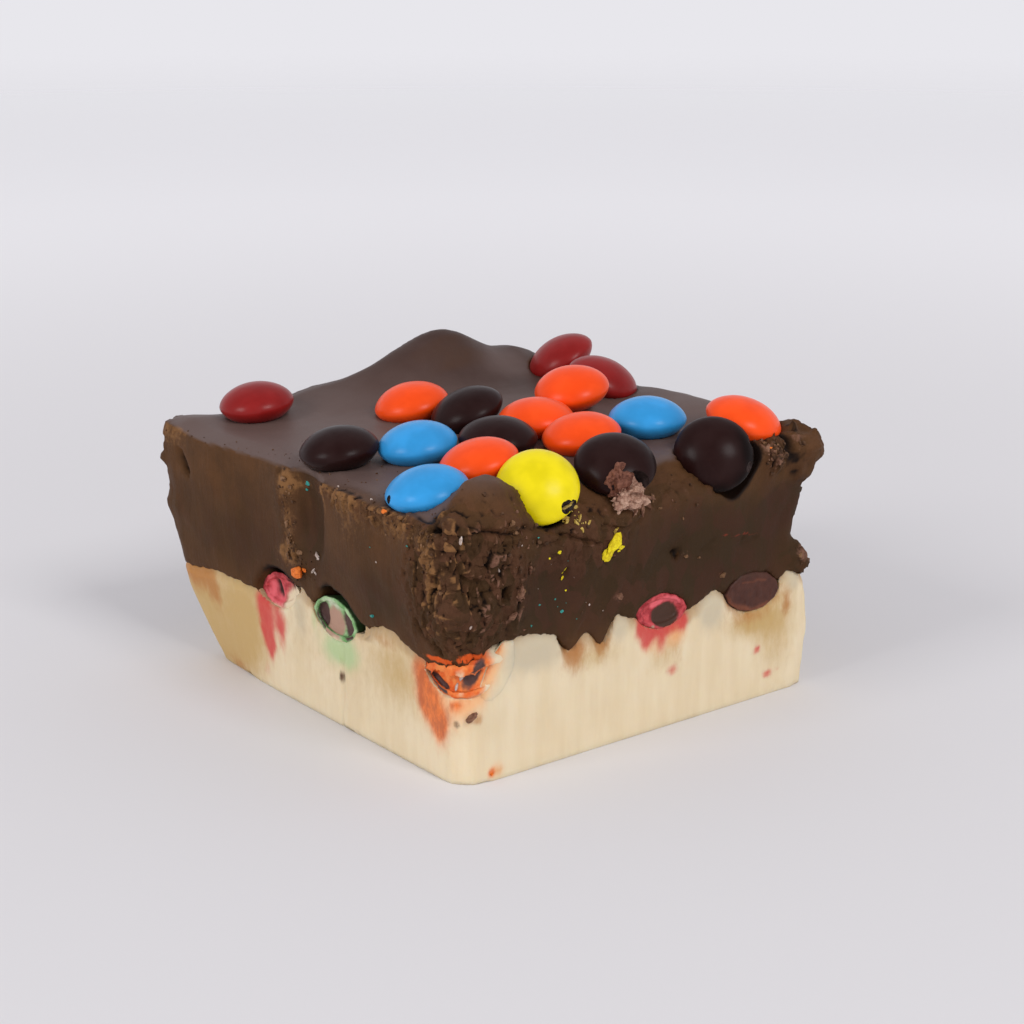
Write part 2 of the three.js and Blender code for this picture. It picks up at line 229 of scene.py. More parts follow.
class Wire:
    """The value of a shader socket, on which Python arithmetic adds Math nodes."""

    def __init__(self, tree: "MaterialTree", socket: bpy.types.NodeSocket) -> None:
        """Wraps socket, which belongs to a node of tree."""
        self.tree = tree
        self.socket = socket

    def _math(self, operation: str, *terms: "Wire | float") -> "Wire":
        """A Math node of that operation on the terms."""
        settings = {"operation": operation}
        node = self.tree.node("ShaderNodeMath", settings, dict(enumerate(terms)))
        return Wire(self.tree, node.outputs[0])

    def __add__(self, other: "Wire | float") -> "Wire":
        """Self plus other."""
        return self._math("ADD", self, other)

    __radd__ = __add__

    def __sub__(self, other: "Wire | float") -> "Wire":
        """Self minus other."""
        return self._math("SUBTRACT", self, other)

    def __rsub__(self, other: float) -> "Wire":
        """Other minus self."""
        return self._math("SUBTRACT", other, self)

    def __mul__(self, other: "Wire | float") -> "Wire":
        """Self times other."""
        return self._math("MULTIPLY", self, other)

    __rmul__ = __mul__

    def between(self, low: float, high: float) -> "Wire":
        """A smooth step from 0 at low to 1 at high; low may be the larger."""
        turned = low > high
        values = {0: self, 1: min(low, high), 2: max(low, high), 3: 0.0, 4: 1.0}
        settings = {"interpolation_type": "SMOOTHSTEP"}
        stepped = Wire(self.tree, self.tree.node("ShaderNodeMapRange", settings, values).outputs[0])
        return 1 - stepped if turned else stepped


class MaterialTree:
    """A material whose nodes are added one call at a time."""

    def __init__(self, name: str) -> None:
        """Starts an empty node tree in a new material called name."""
        self.material = bpy.data.materials.new(name)
        self.material.use_nodes = True
        self.nodes = self.material.node_tree.nodes
        self.links = self.material.node_tree.links
        self.nodes.clear()
        self._place: Wire | None = None

    def node(
        self,
        kind: str,
        settings: dict[str, Any] | None = None,
        inputs: dict[int | str, Any] | None = None,
    ) -> bpy.types.Node:
        """Adds a node.

        Args:
            kind: The node's type name.
            settings: Properties of the node, set before its sockets.
            inputs: Values or wires for its input sockets, by number or name.

        Returns:
            The new node.
        """
        node = self.nodes.new(kind)
        for name, value in (settings or {}).items():
            setattr(node, name, value)
        for key, value in (inputs or {}).items():
            if isinstance(value, Wire):
                self.links.new(value.socket, node.inputs[key])
            elif isinstance(value, tuple) and node.inputs[key].type == "RGBA":
                node.inputs[key].default_value = (*value, 1.0)
            else:
                node.inputs[key].default_value = value
        return node

    def place(self, stretch: Point = (1.0, 1.0, 1.0)) -> Wire:
        """Object coordinates in millimetres, multiplied along each axis by stretch."""
        if self._place is None:
            self._place = Wire(self, self.node("ShaderNodeTexCoord").outputs["Object"])
        scale = tuple(part / MM for part in stretch)
        settings = {"operation": "MULTIPLY"}
        node = self.node("ShaderNodeVectorMath", settings, {0: self._place, 1: scale})
        return Wire(self, node.outputs[0])

    def noise(
        self,
        size: float,
        detail: float = 2.0,
        roughness: float = 0.5,
        stretch: Point = (1.0, 1.0, 1.0),
        twist: float = 0.0,
    ) -> Wire:
        """Noise from 0 to 1.

        Args:
            size: Width of one swell in millimetres.
            detail: How many finer layers lie over it.
            roughness: How strong the finer layers are.
            stretch: Squeeze along each axis; below 1 draws the pattern out.
            twist: How far the pattern is warped.

        Returns:
            The noise value.
        """
        inputs = {"Vector": self.place(stretch), "Scale": 1 / size, "Detail": detail}
        inputs |= {"Roughness": roughness, "Distortion": twist}
        return Wire(self, self.node("ShaderNodeTexNoise", None, inputs).outputs[0])

    def cells(self, size: float, stretch: Point = (1.0, 1.0, 1.0)) -> Wire:
        """One random number from 0 to 1 to each cell.

        Args:
            size: Width of a cell in millimetres.
            stretch: Squeeze along each axis; below 1 draws the pattern out.

        Returns:
            The cells' numbers.
        """
        inputs = {"Vector": self.place(stretch), "Scale": 1 / size}
        node = self.node("ShaderNodeTexVoronoi", None, inputs)
        split = self.node("ShaderNodeSeparateColor", None, {0: Wire(self, node.outputs[1])})
        return Wire(self, split.outputs[0])

    def painted(self, name: str) -> Wire:
        """The mask called name that is stored with the mesh."""
        node = self.node("ShaderNodeAttribute", {"attribute_name": name})
        return Wire(self, node.outputs["Fac"])

    def blend(self, share: Wire | float, first: Wire | Colour, second: Wire | Colour) -> Wire:
        """The colour that goes from first to second as share goes from 0 to 1."""
        settings = {"data_type": "RGBA", "clamp_factor": True}
        node = self.node("ShaderNodeMix", settings, {0: share, 6: first, 7: second})
        return Wire(self, node.outputs[2])

    def bump(self, height: Wire, depth: float, under: Wire | None = None) -> Wire:
        """A surface normal that follows height.

        Args:
            height: Relief of about 0 to 1.
            depth: Millimetres that a height of 1 stands for.
            under: A coarser normal that this one lies on.

        Returns:
            The bumped normal.
        """
        inputs: dict[int | str, Any] = {"Strength": 1.0, "Distance": depth * MM, "Height": height}
        if under is not None:
            inputs["Normal"] = under
        return Wire(self, self.node("ShaderNodeBump", None, inputs).outputs[0])

    def finish(self, **sockets: Any) -> bpy.types.Material:
        """Ends the tree in a Principled shader.

        Args:
            sockets: Its sockets by name, with underscores for spaces.

        Returns:
            The finished material.
        """
        inputs = {name.replace("_", " "): value for name, value in sockets.items()}
        shader = self.node("ShaderNodeBsdfPrincipled", None, inputs)
        surface = Wire(self, shader.outputs[0])
        self.node("ShaderNodeOutputMaterial", None, {"Surface": surface})
        return self.material


@dataclass(frozen=True)
class ChocolateFinish:
    """Dark chocolate fudge: satin where it was poured, duller where cut, crumbly where broken."""

    cut: Colour = srgb(93, 61, 35)
    cut_dark: Colour = srgb(77, 51, 28)
    shaded: Colour = srgb(64, 40, 27)
    olive: Colour = srgb(57, 41, 24)
    reddish: Colour = srgb(92, 60, 44)
    poured: Colour = srgb(60, 37, 28)
    # painted sheen: the grey-brown the poured skin is painted where it reflects the bright backdrop
    dusty: Colour = srgb(98, 79, 73)
    crumbly: Colour = srgb(146, 104, 64)
    flaky: Colour = srgb(142, 102, 84)
    # deep: painted shade for hollows, crevices, dents and the gaps beside lentils
    deep: Colour = srgb(26, 15, 9)
    orange: Colour = srgb(222, 92, 36)
    red: Colour = srgb(128, 52, 36)

    def material(self) -> bpy.types.Material:
        """The finished material, which reads the masks painted on the chocolate layer."""
        tree = MaterialTree("chocolate_fudge")
        cloud = tree.noise(5.0, detail=4, roughness=0.6)
        streak = tree.noise(0.7, detail=3, stretch=(1.0, 1.0, 0.15))
        grain = tree.noise(0.32, detail=4, roughness=0.7)
        dust = tree.noise(0.7, detail=5, roughness=0.75)
        poured, broken = tree.painted("poured"), tree.painted("broken")

        patch = tree.cells(1.5, stretch=(1.0, 1.0, 0.6))
        tone = (0.6 * cloud + 0.14 * streak + 0.14 * grain + 0.12 * dust).between(0.36, 0.64)
        colour = tree.blend(tone, self.cut, self.cut_dark)
        mottle = (0.25 * patch + 0.75 * cloud).between(0.35, 0.65)
        shaded = tree.blend(mottle, self.olive, self.shaded)
        colour = tree.blend(tree.painted("shade"), colour, shaded)
        mottle = (0.35 * patch + 0.65 * cloud).between(0.35, 0.65)
        chips = tree.blend(mottle, self.olive, self.reddish)
        colour = tree.blend(0.65 * broken, colour, chips)
        # The poured skin is painted greyer and lighter as a painted sheen.
        skin = tree.blend(tree.painted("dusty") + 0.5 * (cloud - 0.5), self.poured, self.dusty)
        colour = tree.blend(poured, colour, skin)
        # Pale crumb colour, partly painted light on the peaks of the broken relief and on lit
        # facets.
        pale_and_lit_share = (tree.painted("pale") + 1.6 * (dust - 0.5)).between(0.25, 0.95)
        tips = tree.blend(tree.painted("flaky"), self.crumbly, self.flaky)
        colour = tree.blend(0.75 * pale_and_lit_share, colour, tips)
        orange_share = (tree.painted("orange") + 0.8 * (dust - 0.5)).between(0.35, 0.6)
        colour = tree.blend(orange_share, colour, self.orange)
        red_share = (tree.painted("red") + 0.6 * (dust - 0.5)).between(0.3, 0.6)
        colour = tree.blend(0.8 * red_share, colour, self.red)
        # Painted shade in the hollows, crevices, dents and the gaps beside the lentils.
        colour = tree.blend(tree.painted("deep").between(0.05, 0.95), colour, self.deep)

        roughness = 0.56 + 0.1 * broken + 0.14 * (grain - 0.5)
        fine = tree.bump(grain * (0.3 + broken), 0.14)
        normal = tree.bump(streak * (1 - poured), 0.05, fine)
        return tree.finish(
            Base_Color=colour, Roughness=roughness, Normal=normal, Specular_IOR_Level=0.1,
            Coat_Weight=0.4 * poured, Coat_Roughness=0.45,
        )


@dataclass(frozen=True)
class CreamFinish:
    """Pale cream fudge, faintly see-through, with the colours that bled into it and painted shade
    on its left face.
    """

    body: Colour = srgb(236, 219, 186)
    white: Colour = srgb(208, 194, 166)
    # tan: a real tan tone, also painted as shade over much of the left face
    tan: Colour = srgb(200, 168, 112)
    caramel: Colour = srgb(180, 118, 56)
    fringe: Colour = srgb(168, 128, 84)
    cocoa: Colour = srgb(92, 60, 40)
    red: Colour = srgb(208, 56, 58)
    peach: Colour = srgb(244, 176, 118)
    orange: Colour = srgb(240, 122, 46)
    rust: Colour = srgb(196, 92, 44)
    green: Colour = srgb(170, 204, 146)

    def material(self) -> bpy.types.Material:
        """The finished material, which reads the masks painted on the cream layer."""
        tree = MaterialTree("cream_fudge")
        cloud = tree.noise(7.0, detail=2)
        streak = tree.noise(1.6, detail=3, stretch=(1.0, 1.0, 0.12))
        fine = tree.noise(0.5, detail=4, roughness=0.6)
        ragged = tree.noise(0.9, detail=4, roughness=0.65, stretch=(1.0, 1.0, 0.5))

        def stained(name: str, low: float, high: float, rag: float) -> Wire:
            """The painted mask called name, with a ragged edge."""
            return (tree.painted(name) + rag * (ragged - 0.5)).between(low, high)

        warm_share = (0.5 * cloud + 0.5 * streak).between(0.35, 0.65)
        colour = tree.blend(0.22 * warm_share, self.body, self.tan)
        colour = tree.blend(0.8 * stained("seam", 0.0, 1.2, 0.5), colour, self.fringe)
        colour = tree.blend(stained("white", 0.1, 1.0, 0.4), colour, self.white)
        colour = tree.blend(stained("tan", 0.1, 1.0, 0.5), colour, self.tan)
        colour = tree.blend(0.85 * stained("caramel", 0.15, 1.0, 0.7), colour, self.caramel)
        colour = tree.blend(0.75 * stained("green", 0.05, 1.1, 0.35), colour, self.green)
        colour = tree.blend(0.8 * stained("peach", 0.05, 1.1, 0.35), colour, self.peach)
        colour = tree.blend(0.9 * stained("red", 0.1, 1.05, 0.4), colour, self.red)
        mottled = tree.blend((0.5 * cloud + 0.5 * ragged).between(0.4, 0.6), self.orange, self.rust)
        colour = tree.blend(0.9 * stained("orange", 0.1, 1.0, 0.5), colour, mottled)
        colour = tree.blend(stained("cocoa", 0.15, 0.85, 0.6), colour, self.cocoa)

        roughness = 0.5 + 0.15 * (fine - 0.5)
        normal = tree.bump(0.7 * streak + 0.3 * fine, 0.12)
        return tree.finish(
            Base_Color=colour, Roughness=roughness, Normal=normal, Specular_IOR_Level=0.25,
            Subsurface_Weight=0.35, Subsurface_Radius=(1.0, 0.75, 0.45), Subsurface_Scale=1.6 * MM,
        )


class ShellColour(Enum):
    """The colours that the lentils' sugar shells come in."""

    RED = srgb(138, 22, 20)
    ORANGE = srgb(255, 78, 12)
    BLUE = srgb(50, 152, 217)
    BROWN = srgb(36, 15, 13)
    YELLOW = srgb(234, 214, 4)
    GREEN = srgb(92, 176, 88)

    @property
    def slot(self) -> str:
        """The record's material slot for a shell of this colour."""
        return f"shell_{self.name.lower()}"

    @property
    def gloss(self) -> float:
        """How strongly a shell of this colour mirrors its surroundings."""
        return 0.5 if self is ShellColour.BROWN else 1.0


@dataclass(frozen=True)
class ShellFinish:
    """A polished sugar shell: even colour, faintly wavy, with small scuffs."""

    colour: ShellColour
    roughness: float = 0.34
    dim: Colour = srgb(14, 7, 6)

    def material(self) -> bpy.types.Material:
        """The finished material."""
        tree = MaterialTree(self.colour.slot)
        plain = self.colour.value
        lighter = tuple(min(1.0, part * 1.08 + 0.003) for part in plain)
        darker = tuple(part * 0.93 for part in plain)
        cloud = tree.noise(2.6, detail=2)
        fine = tree.noise(0.22, detail=3, roughness=0.6)
        scuff = tree.noise(0.7, detail=5, roughness=0.75, twist=0.6).between(0.66, 0.72)
        colour = tree.blend(cloud.between(0.3, 0.7), darker, lighter)
        colour = tree.blend(0.25 * scuff, colour, lighter)
        colour = tree.blend(0.9 * tree.painted("dim"), colour, self.dim)
        roughness = self.roughness + 0.1 * (cloud - 0.5) + 0.16 * scuff
        waves = tree.bump(tree.noise(1.5, detail=1), 0.035)
        normal = tree.bump(fine, 0.006, waves)
        return tree.finish(
            Base_Color=colour, Roughness=roughness, Normal=normal,
            Specular_IOR_Level=0.12 * self.colour.gloss,
            Coat_Weight=0.13 * self.colour.gloss * (1 - tree.painted("dim")), Coat_Roughness=0.25,
            Sheen_Weight=0.06 * self.colour.gloss, Sheen_Roughness=0.35,
        )


@dataclass(frozen=True)
class GrainFinish:
    """A dry grainy finish between two colours, for fillings, crumbs and broken shell."""

    name: str
    dark: Colour
    light: Colour
    roughness: float = 0.6
    grain: float = 0.35

    def colour(self, tree: MaterialTree) -> Wire:
        """The colour, which goes between the two with the grain."""
        cloud = tree.noise(1.4, detail=3, roughness=0.6)
        grain = tree.noise(self.grain, detail=4, roughness=0.7)
        return tree.blend((0.55 * cloud + 0.45 * grain).between(0.36, 0.64), self.dark, self.light)

    def material(self) -> bpy.types.Material:
        """The finished material."""
        tree = MaterialTree(self.name)
        grain = tree.noise(self.grain, detail=4, roughness=0.7)
        roughness = self.roughness + 0.2 * (grain - 0.5)
        return tree.finish(
            Base_Color=self.colour(tree), Roughness=roughness, Normal=tree.bump(grain, 0.1),
            Specular_IOR_Level=0.2,
        )


class Smear(Enum):
    """What shows in a cut lentil or lies over it, each with its colour and its depth; painted
    shadow and highlights among them.
    """

    # the sugar's own brighter colour, and a painted highlight along the top of some cut lentils
    VIVID = (None, 0.0)
    NOUGAT = (srgb(180, 142, 122), 0.05)
    # the dark crescent gaps in a cut lentil, painted with the shade in them over a shallow recess
    PLUM = (srgb(88, 64, 60), 0.3)
    CHOCOLATE = (srgb(72, 48, 36), 0.1)
    CREAM = (srgb(231, 212, 179), 0.0)
    # painted shadow in the slit and the cavities of a cut lentil, over a small recess
    DARK = (srgb(54, 28, 22), 0.45)


@dataclass(frozen=True)
class SmearFinish(GrainFinish):
    """The crushed sugar of a cut lentil, with what the knife dragged over it and painted shade on
    its sides.
    """

    roughness: float = 0.45
    vivid: Colour = srgb(230, 96, 110)
    # sides: painted shade on the sides of a cut lentil that lie in the gaps
    sides: Colour = srgb(40, 24, 20)

    def colour(self, tree: MaterialTree) -> Wire:
        """The sugar's colour with painted shade on its sides and every painted smear over it."""
        # Painted shade on the sides that lie in the gaps.
        colour = tree.blend(0.9 * tree.painted("sides"), super().colour(tree), self.sides)
        ragged = tree.noise(0.6, detail=4, roughness=0.65)
        for smear in Smear:
            share = (tree.painted(smear.name.lower()) + 0.5 * (ragged - 0.5)).between(0.12, 0.88)
            colour = tree.blend(share, colour, smear.value[0] or self.vivid)
        return colour


FILLINGS = (
    GrainFinish("shadow", srgb(34, 24, 22), srgb(62, 48, 46), 0.5),
    GrainFinish("nougat", srgb(136, 96, 80), srgb(196, 160, 138)),
    GrainFinish("rust", srgb(84, 46, 34), srgb(128, 82, 64)),
    SmearFinish(
        "sugar_red", srgb(150, 38, 44), srgb(206, 82, 86), grain=1.4,
        vivid=srgb(232, 104, 112), sides=srgb(70, 22, 20),
    ),
    SmearFinish(
        "sugar_green", srgb(112, 164, 98), srgb(176, 208, 156), grain=0.9,
        vivid=srgb(196, 206, 176), sides=srgb(22, 42, 14),
    ),
    SmearFinish(
        "sugar_orange", srgb(226, 96, 36), srgb(244, 142, 74), 0.5, grain=1.6,
        vivid=srgb(214, 84, 26), sides=srgb(190, 92, 40),
    ),
    SmearFinish(
        "sugar_brown", srgb(68, 37, 28), srgb(82, 47, 36), grain=1.6,
        vivid=srgb(128, 72, 48), sides=srgb(44, 26, 18),
    ),
)


class Palette:
    """The materials of the lentils and of the lumps beside them, each made once."""

    def __init__(self, cream: bpy.types.Material) -> None:
        """Makes the materials, and takes the cream layer's own."""
        self.shells = {colour: ShellFinish(colour).material() for colour in ShellColour}
        self.fillings = {finish.name: finish.material() for finish in FILLINGS}
        self.fillings["cream"] = cream

    def sugar(self, colour: ShellColour) -> bpy.types.Material:
        """What the cut face of a lentil of that colour is made of."""
        return self.fillings[f"sugar_{colour.name.lower()}"]


# ------------------------------------------------------------------ working with objects


def select_only(*pieces: bpy.types.Object) -> None:
    """Selects these objects and nothing else, the first of them active."""
    bpy.ops.object.select_all(action="DESELECT")
    for piece in pieces:
        piece.select_set(True)
    bpy.context.view_layer.objects.active = pieces[0]


def newest(name: str) -> bpy.types.Object:
    """The object that an add operator has just made, renamed."""
    piece = bpy.context.active_object
    piece.name = name
    piece.data.name = name
    return piece


def added(name: str, data: bpy.types.ID) -> bpy.types.Object:
    """A new object of that data, linked into the scene."""
    piece = bpy.data.objects.new(name, data)
    bpy.context.scene.collection.objects.link(piece)
    return piece


def apply_modifier(piece: bpy.types.Object, kind: str, **settings: Any) -> None:
    """Adds a modifier of that kind with those settings and applies it."""
    select_only(piece)
    modifier = piece.modifiers.new(kind.lower(), kind)
    for name, value in settings.items():
        setattr(modifier, name, value)
    bpy.ops.object.modifier_apply(modifier=modifier.name)


def settle(piece: bpy.types.Object) -> None:
    """Moves an object's place into its mesh, so that the object sits at the origin."""
    select_only(piece)
    bpy.ops.object.transform_apply(location=True, rotation=True, scale=True)


def shade_smooth(piece: bpy.types.Object, angle: float = 180.0) -> None:
    """Shades faces smooth where they meet at less than angle degrees."""
    select_only(piece)
    bpy.ops.object.shade_smooth_by_angle(angle=math.radians(angle))


def dress(piece: bpy.types.Object, slot: str, *materials: bpy.types.Material) -> None:
    """Gives a piece its materials and lets it ride on the body.

    Args:
        piece: The finished piece.
        slot: The record's slot for it; not used.
        materials: What it is made of, where it hasn't got that yet.
    """
    for material in materials:
        piece.data.materials.append(material)
    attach(piece, BODY)
    log.info("%s: %d faces", piece.name, len(piece.data.polygons))


def copied_node(node: str, name: str) -> bpy.types.Object:
    """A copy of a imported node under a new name, its loose triangles merged."""
    piece = added(name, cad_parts[node].data.copy())
    piece.data.materials.clear()
    select_only(piece)
    bpy.ops.object.mode_set(mode="EDIT")
    bpy.ops.mesh.select_all(action="SELECT")
    bpy.ops.mesh.remove_doubles(threshold=0.002 * MM)
    bpy.ops.object.mode_set(mode="OBJECT")
    return piece


def refine(piece: bpy.types.Object, wanted: Array) -> None:
    """Splits the faces in four where the vertices are wanted."""
    select_only(piece)
    bpy.ops.object.mode_set(mode="EDIT")
    bpy.ops.mesh.select_mode(type="VERT")
    bpy.ops.mesh.select_all(action="DESELECT")
    bpy.ops.object.mode_set(mode="OBJECT")
    piece.data.vertices.foreach_set("select", wanted.astype(bool))
    bpy.ops.object.mode_set(mode="EDIT")
    bpy.ops.mesh.subdivide(number_cuts=1)
    bpy.ops.object.mode_set(mode="OBJECT")


def cut_with(piece: bpy.types.Object, tool: bpy.types.Object) -> None:
    """Takes tool out of piece, with tool's material on the cut faces."""
    settings = {"operation": "DIFFERENCE", "solver": "EXACT", "material_mode": "TRANSFER"}
    apply_modifier(piece, "BOOLEAN", object=tool, **settings)
    bpy.data.objects.remove(tool)


class Surface:
    """A mesh being sculpted, with its points in millimetres and its outward normals."""

    HALF_SPAN = 40.0

    def __init__(self, piece: bpy.types.Object) -> None:
        """Reads the points and normals of piece."""
        self.piece = piece
        self.points = self._read("co") / MM
        self.normals = self._read("normal")

    def _read(self, what: str) -> Array:
        """One vector for each vertex."""
        vertices = self.piece.data.vertices
        flat = np.empty(len(vertices) * 3)
        vertices.foreach_get(what, flat)
        return flat.reshape(-1, 3)

    def write(self) -> None:
        """Puts the moved points back into the mesh and reads the new normals."""
        mesh = self.piece.data
        mesh.vertices.foreach_set("co", (self.points * MM).ravel())
        mesh.update()
        self.normals = self._read("normal")

    def push(self, height: Array) -> None:
        """Moves each point out along its normal."""
        self.points += self.normals * height[:, None]

    def facing(self, face: Face, low: float = 0.35, high: float = 0.8) -> Array:
        """How squarely each point faces that way, from 0 to 1."""
        return ramp(self.normals @ np.array(face.value, float), low, high)

    def upright(self) -> Array:
        """How squarely each point is on an upright face, from 0 to 1."""
        return np.clip(1 - self.facing(TOP) - self.facing(UNDER), 0, 1)

    def outside(self, reach: float = 24.5) -> Array:
        """1 for the points of the outer faces, 0 for those of the pockets and the seam."""
        away = np.abs(self.points[:, :2]).max(axis=1) > reach
        return (away & (self.upright() > 0.3)).astype(float)

    def behind(self, face: Face, cell: float = 1.5) -> Array:
        """How far each point lies behind the outermost points round it on that side.

        Args:
            face: The upright face that is looked at.
            cell: Width in millimetres of the squares that are compared.

        Returns:
            Millimetres, 0 on the face itself.
        """
        out = self.points @ np.array(face.value, float)
        along = self.points[:, face.along_axis] + self.HALF_SPAN
        columns = np.floor(along / cell).astype(int)
        rows = np.floor(self.points[:, 2] / cell).astype(int) + 2
        outermost = np.full((rows.max() + 2, columns.max() + 2), -np.inf)
        np.maximum.at(outermost, (rows, columns), out)
        steps = itertools.product((-1, 0, 1), repeat=2)
        spread = np.max([np.roll(outermost, step, (0, 1)) for step in steps], axis=0)
        return spread[rows, columns] - out

    def blurred(self, values: Array, rounds: int) -> Array:
        """Values averaged with those of the points next door, rounds times over."""
        mesh = self.piece.data
        ends = np.empty(len(mesh.edges) * 2, np.int32)
        mesh.edges.foreach_get("vertices", ends)
        first, second = ends.reshape(-1, 2).T
        count = len(values)
        shares = np.bincount(first, minlength=count) + np.bincount(second, minlength=count)
        for _ in range(rounds):
            near = np.bincount(first, values[second], count)
            near += np.bincount(second, values[first], count)
            values = 0.5 * values + 0.5 * near / shares
        return values

    def paint(self, name: str, values: Array) -> None:
        """Stores a mask with the mesh, for its material."""
        mask = self.piece.data.attributes.new(name, "FLOAT", "POINT")
        mask.data.foreach_set("value", np.clip(values, 0, 1).astype(np.float32))


def remeshed(piece: bpy.types.Object, voxel: float, smoothing: int) -> Surface:
    """Gives a piece an even mesh of voxel millimetres, smoothed that many times over."""
    apply_modifier(piece, "REMESH", mode="VOXEL", voxel_size=voxel * MM)
    apply_modifier(piece, "SMOOTH", factor=0.5, iterations=smoothing)
    return Surface(piece)


# ------------------------------------------------------------------ forms on a face


@dataclass(frozen=True)
class Spot:
    """A soft-edged ellipse on an upright face, in millimetres.

    Attributes:
        face: The face that it lies on.
        along: Its middle along the face.
        up: Its middle above the table.
        wide: Reach along the face.
        high: Reach up and down.
        amount: Depth of a hollow in millimetres, or the strength of a stain.
        turn: Degrees that it is turned, from along toward up.
        edge: 1 fades softly, and more is steeper.
        trail: Extra reach downward.
    """

    face: Face
    along: float
    up: float
    wide: float
    high: float
    amount: float = 1.0
    turn: float = 0.0
    edge: float = 1.0
    trail: float = 0.0

    def values(self, along: Array, up: Array) -> Array:
        """Its amount at each place on the face."""
        way = math.radians(self.turn)
        side, rise = along - self.along, up - self.up
        across = side * math.cos(way) + rise * math.sin(way)
        upward = rise * math.cos(way) - side * math.sin(way)
        reach = np.where(upward < 0, self.high + self.trail, self.high)
        spread = (across / self.wide) ** 2 + (upward / reach) ** 2
        return self.amount * np.exp(-(spread**self.edge))


@dataclass(frozen=True)
class Crack:
    """A narrow line along places on an upright face, each given as (along, up)."""

    face: Face
    path: tuple[tuple[float, float], ...]
    wide: float
    amount: float

    def values(self, along: Array, up: Array) -> Array:
        """Its amount at each place on the face."""
        places = np.stack([along, up], axis=1)
        nearest = np.full(len(places), np.inf)
        for start, end in zip(self.path, self.path[1:]):
            first, run = np.array(start), np.subtract(end, start)
            share = np.clip((places - first) @ run / (run @ run), 0, 1)
            away = np.linalg.norm(places - first - share[:, None] * run, axis=1)
            nearest = np.minimum(nearest, away)
        return self.amount * bell(nearest, self.wide)


@dataclass(frozen=True)
class Gouge:
    """A sharp-edged pit on an upright face, its convex outline given as (along, up) places."""

    face: Face
    outline: tuple[tuple[float, float], ...]
    amount: float
    edge: float = 0.35

    def values(self, along: Array, up: Array) -> Array:
        """Its amount at each place on the face."""
        places = np.stack([along, up], axis=1)
        corners = np.array(self.outline)
        middle = corners.mean(axis=0)
        inside = np.full(len(places), np.inf)
        for start, end in zip(corners, np.roll(corners, -1, axis=0)):
            run = (end - start) / np.linalg.norm(end - start)
            inward = np.array([-run[1], run[0]])
            inward *= np.sign((middle - start) @ inward)
            inside = np.minimum(inside, (places - start) @ inward)
        return self.amount * ramp(inside, -0.3 * self.edge, self.edge)


@dataclass(frozen=True)
class Zone:
    """A soft-edged ellipsoid in the food, in millimetres."""

    centre: Point
    reach: Point
    amount: float = 1.0

    def values(self, points: Array) -> Array:
        """Its amount at each point."""
        spread = (((points - np.array(self.centre)) / np.array(self.reach)) ** 2).sum(axis=1)
        return self.amount * np.exp(-(spread**1.5))


def strongest(zones: Sequence[Zone], points: Array) -> Array:
    """The amount of the strongest zone at each point."""
    return np.max([zone.values(points) for zone in zones], axis=0)


Form = Spot | Crack | Gouge


def each(kind: type, *rows: tuple[Any, ...]) -> tuple[Any, ...]:
    """One of that kind for each row of its fields."""
    return tuple(kind(*row) for row in rows)


def on(face: Face, kind: type, *rows: tuple[Any, ...]) -> tuple[Any, ...]:
    """Forms or crumbs of one kind on one face, each row what follows the face in its fields."""
    return each(kind, *((face, *row) for row in rows))


def total_of(forms: Sequence[Form], surface: Surface, warp: Array | None = None) -> Array:
    """The sum of the forms at each point of a surface.

    Args:
        forms: Spots, cracks and gouges, each counted only on its own face.
        surface: Where they are wanted.
        warp: Millimetres by which each place is shifted first, for a ragged outline.

    Returns:
        One number for each point.
    """
    total = np.zeros(len(surface.points))
    shift = warp if warp is not None else np.zeros((len(total), 3))
    for face in UPRIGHT:
        there = surface.facing(face, 0.25, 0.6) * ramp(surface.behind(face), 2.4, 1.4)
        near = there > 0
        places = surface.points[near] + shift[near]
        for form in (form for form in forms if form.face is face):
            values = form.values(places[:, face.along_axis], places[:, 2])
            total[near] += values * there[near]
    return total


class SeamLine:
    """The line between cream and chocolate on each upright face, read from the solids."""

    STEP = 0.7

    def __init__(self, cream: Surface) -> None:
        """Takes the top edge of the cream on every upright face."""
        self.lines: dict[Face, tuple[Array, Array]] = {}
        for face in UPRIGHT:
            there = cream.facing(face) > 0.5
            along, up = cream.points[there, face.along_axis], cream.points[there, 2]
            bins = np.round(along / self.STEP).astype(int)
            keys = np.unique(bins)
            tops = np.array([up[bins == key].max() for key in keys])
            self.lines[face] = (keys * self.STEP, tops)

    def above(self, surface: Surface) -> Array:
        """How far each point is above the seam of the face that it is nearest to."""
        heights = []
        squareness = []
        for face in UPRIGHT:
            along, tops = self.lines[face]
            heights.append(np.interp(surface.points[:, face.along_axis], along, tops))
            squareness.append(surface.points @ np.array(face.value, float))
        chosen = np.argmax(np.stack(squareness), axis=0)
        return surface.points[:, 2] - np.take_along_axis(np.stack(heights), chosen[None], 0)[0]


@dataclass(frozen=True)
class SeamLift:
    """A stretch of seam that is raised, or lowered where amount is below zero."""

    face: Face
    along: float
    wide: float
    amount: float

    def values(self, surface: Surface) -> Array:
        """How far each column of points is raised."""
        near = ramp(surface.points @ np.array(self.face.value, float), 19, 25)
        away = surface.points[:, self.face.along_axis] - self.along
        return self.amount * near * bell(away, self.wide)


SEAM_WANDER = 0.6
SEAM_BAND = 1.6
LIFT_BAND = 3.2
SEAM_LIFTS = (
    SeamLift(FRONT, -18.8, 4.2, 1.4),
    SeamLift(FRONT, -9.6, 3.4, 2.2),
    SeamLift(LEFT, -22.6, 1.8, -0.9),
)


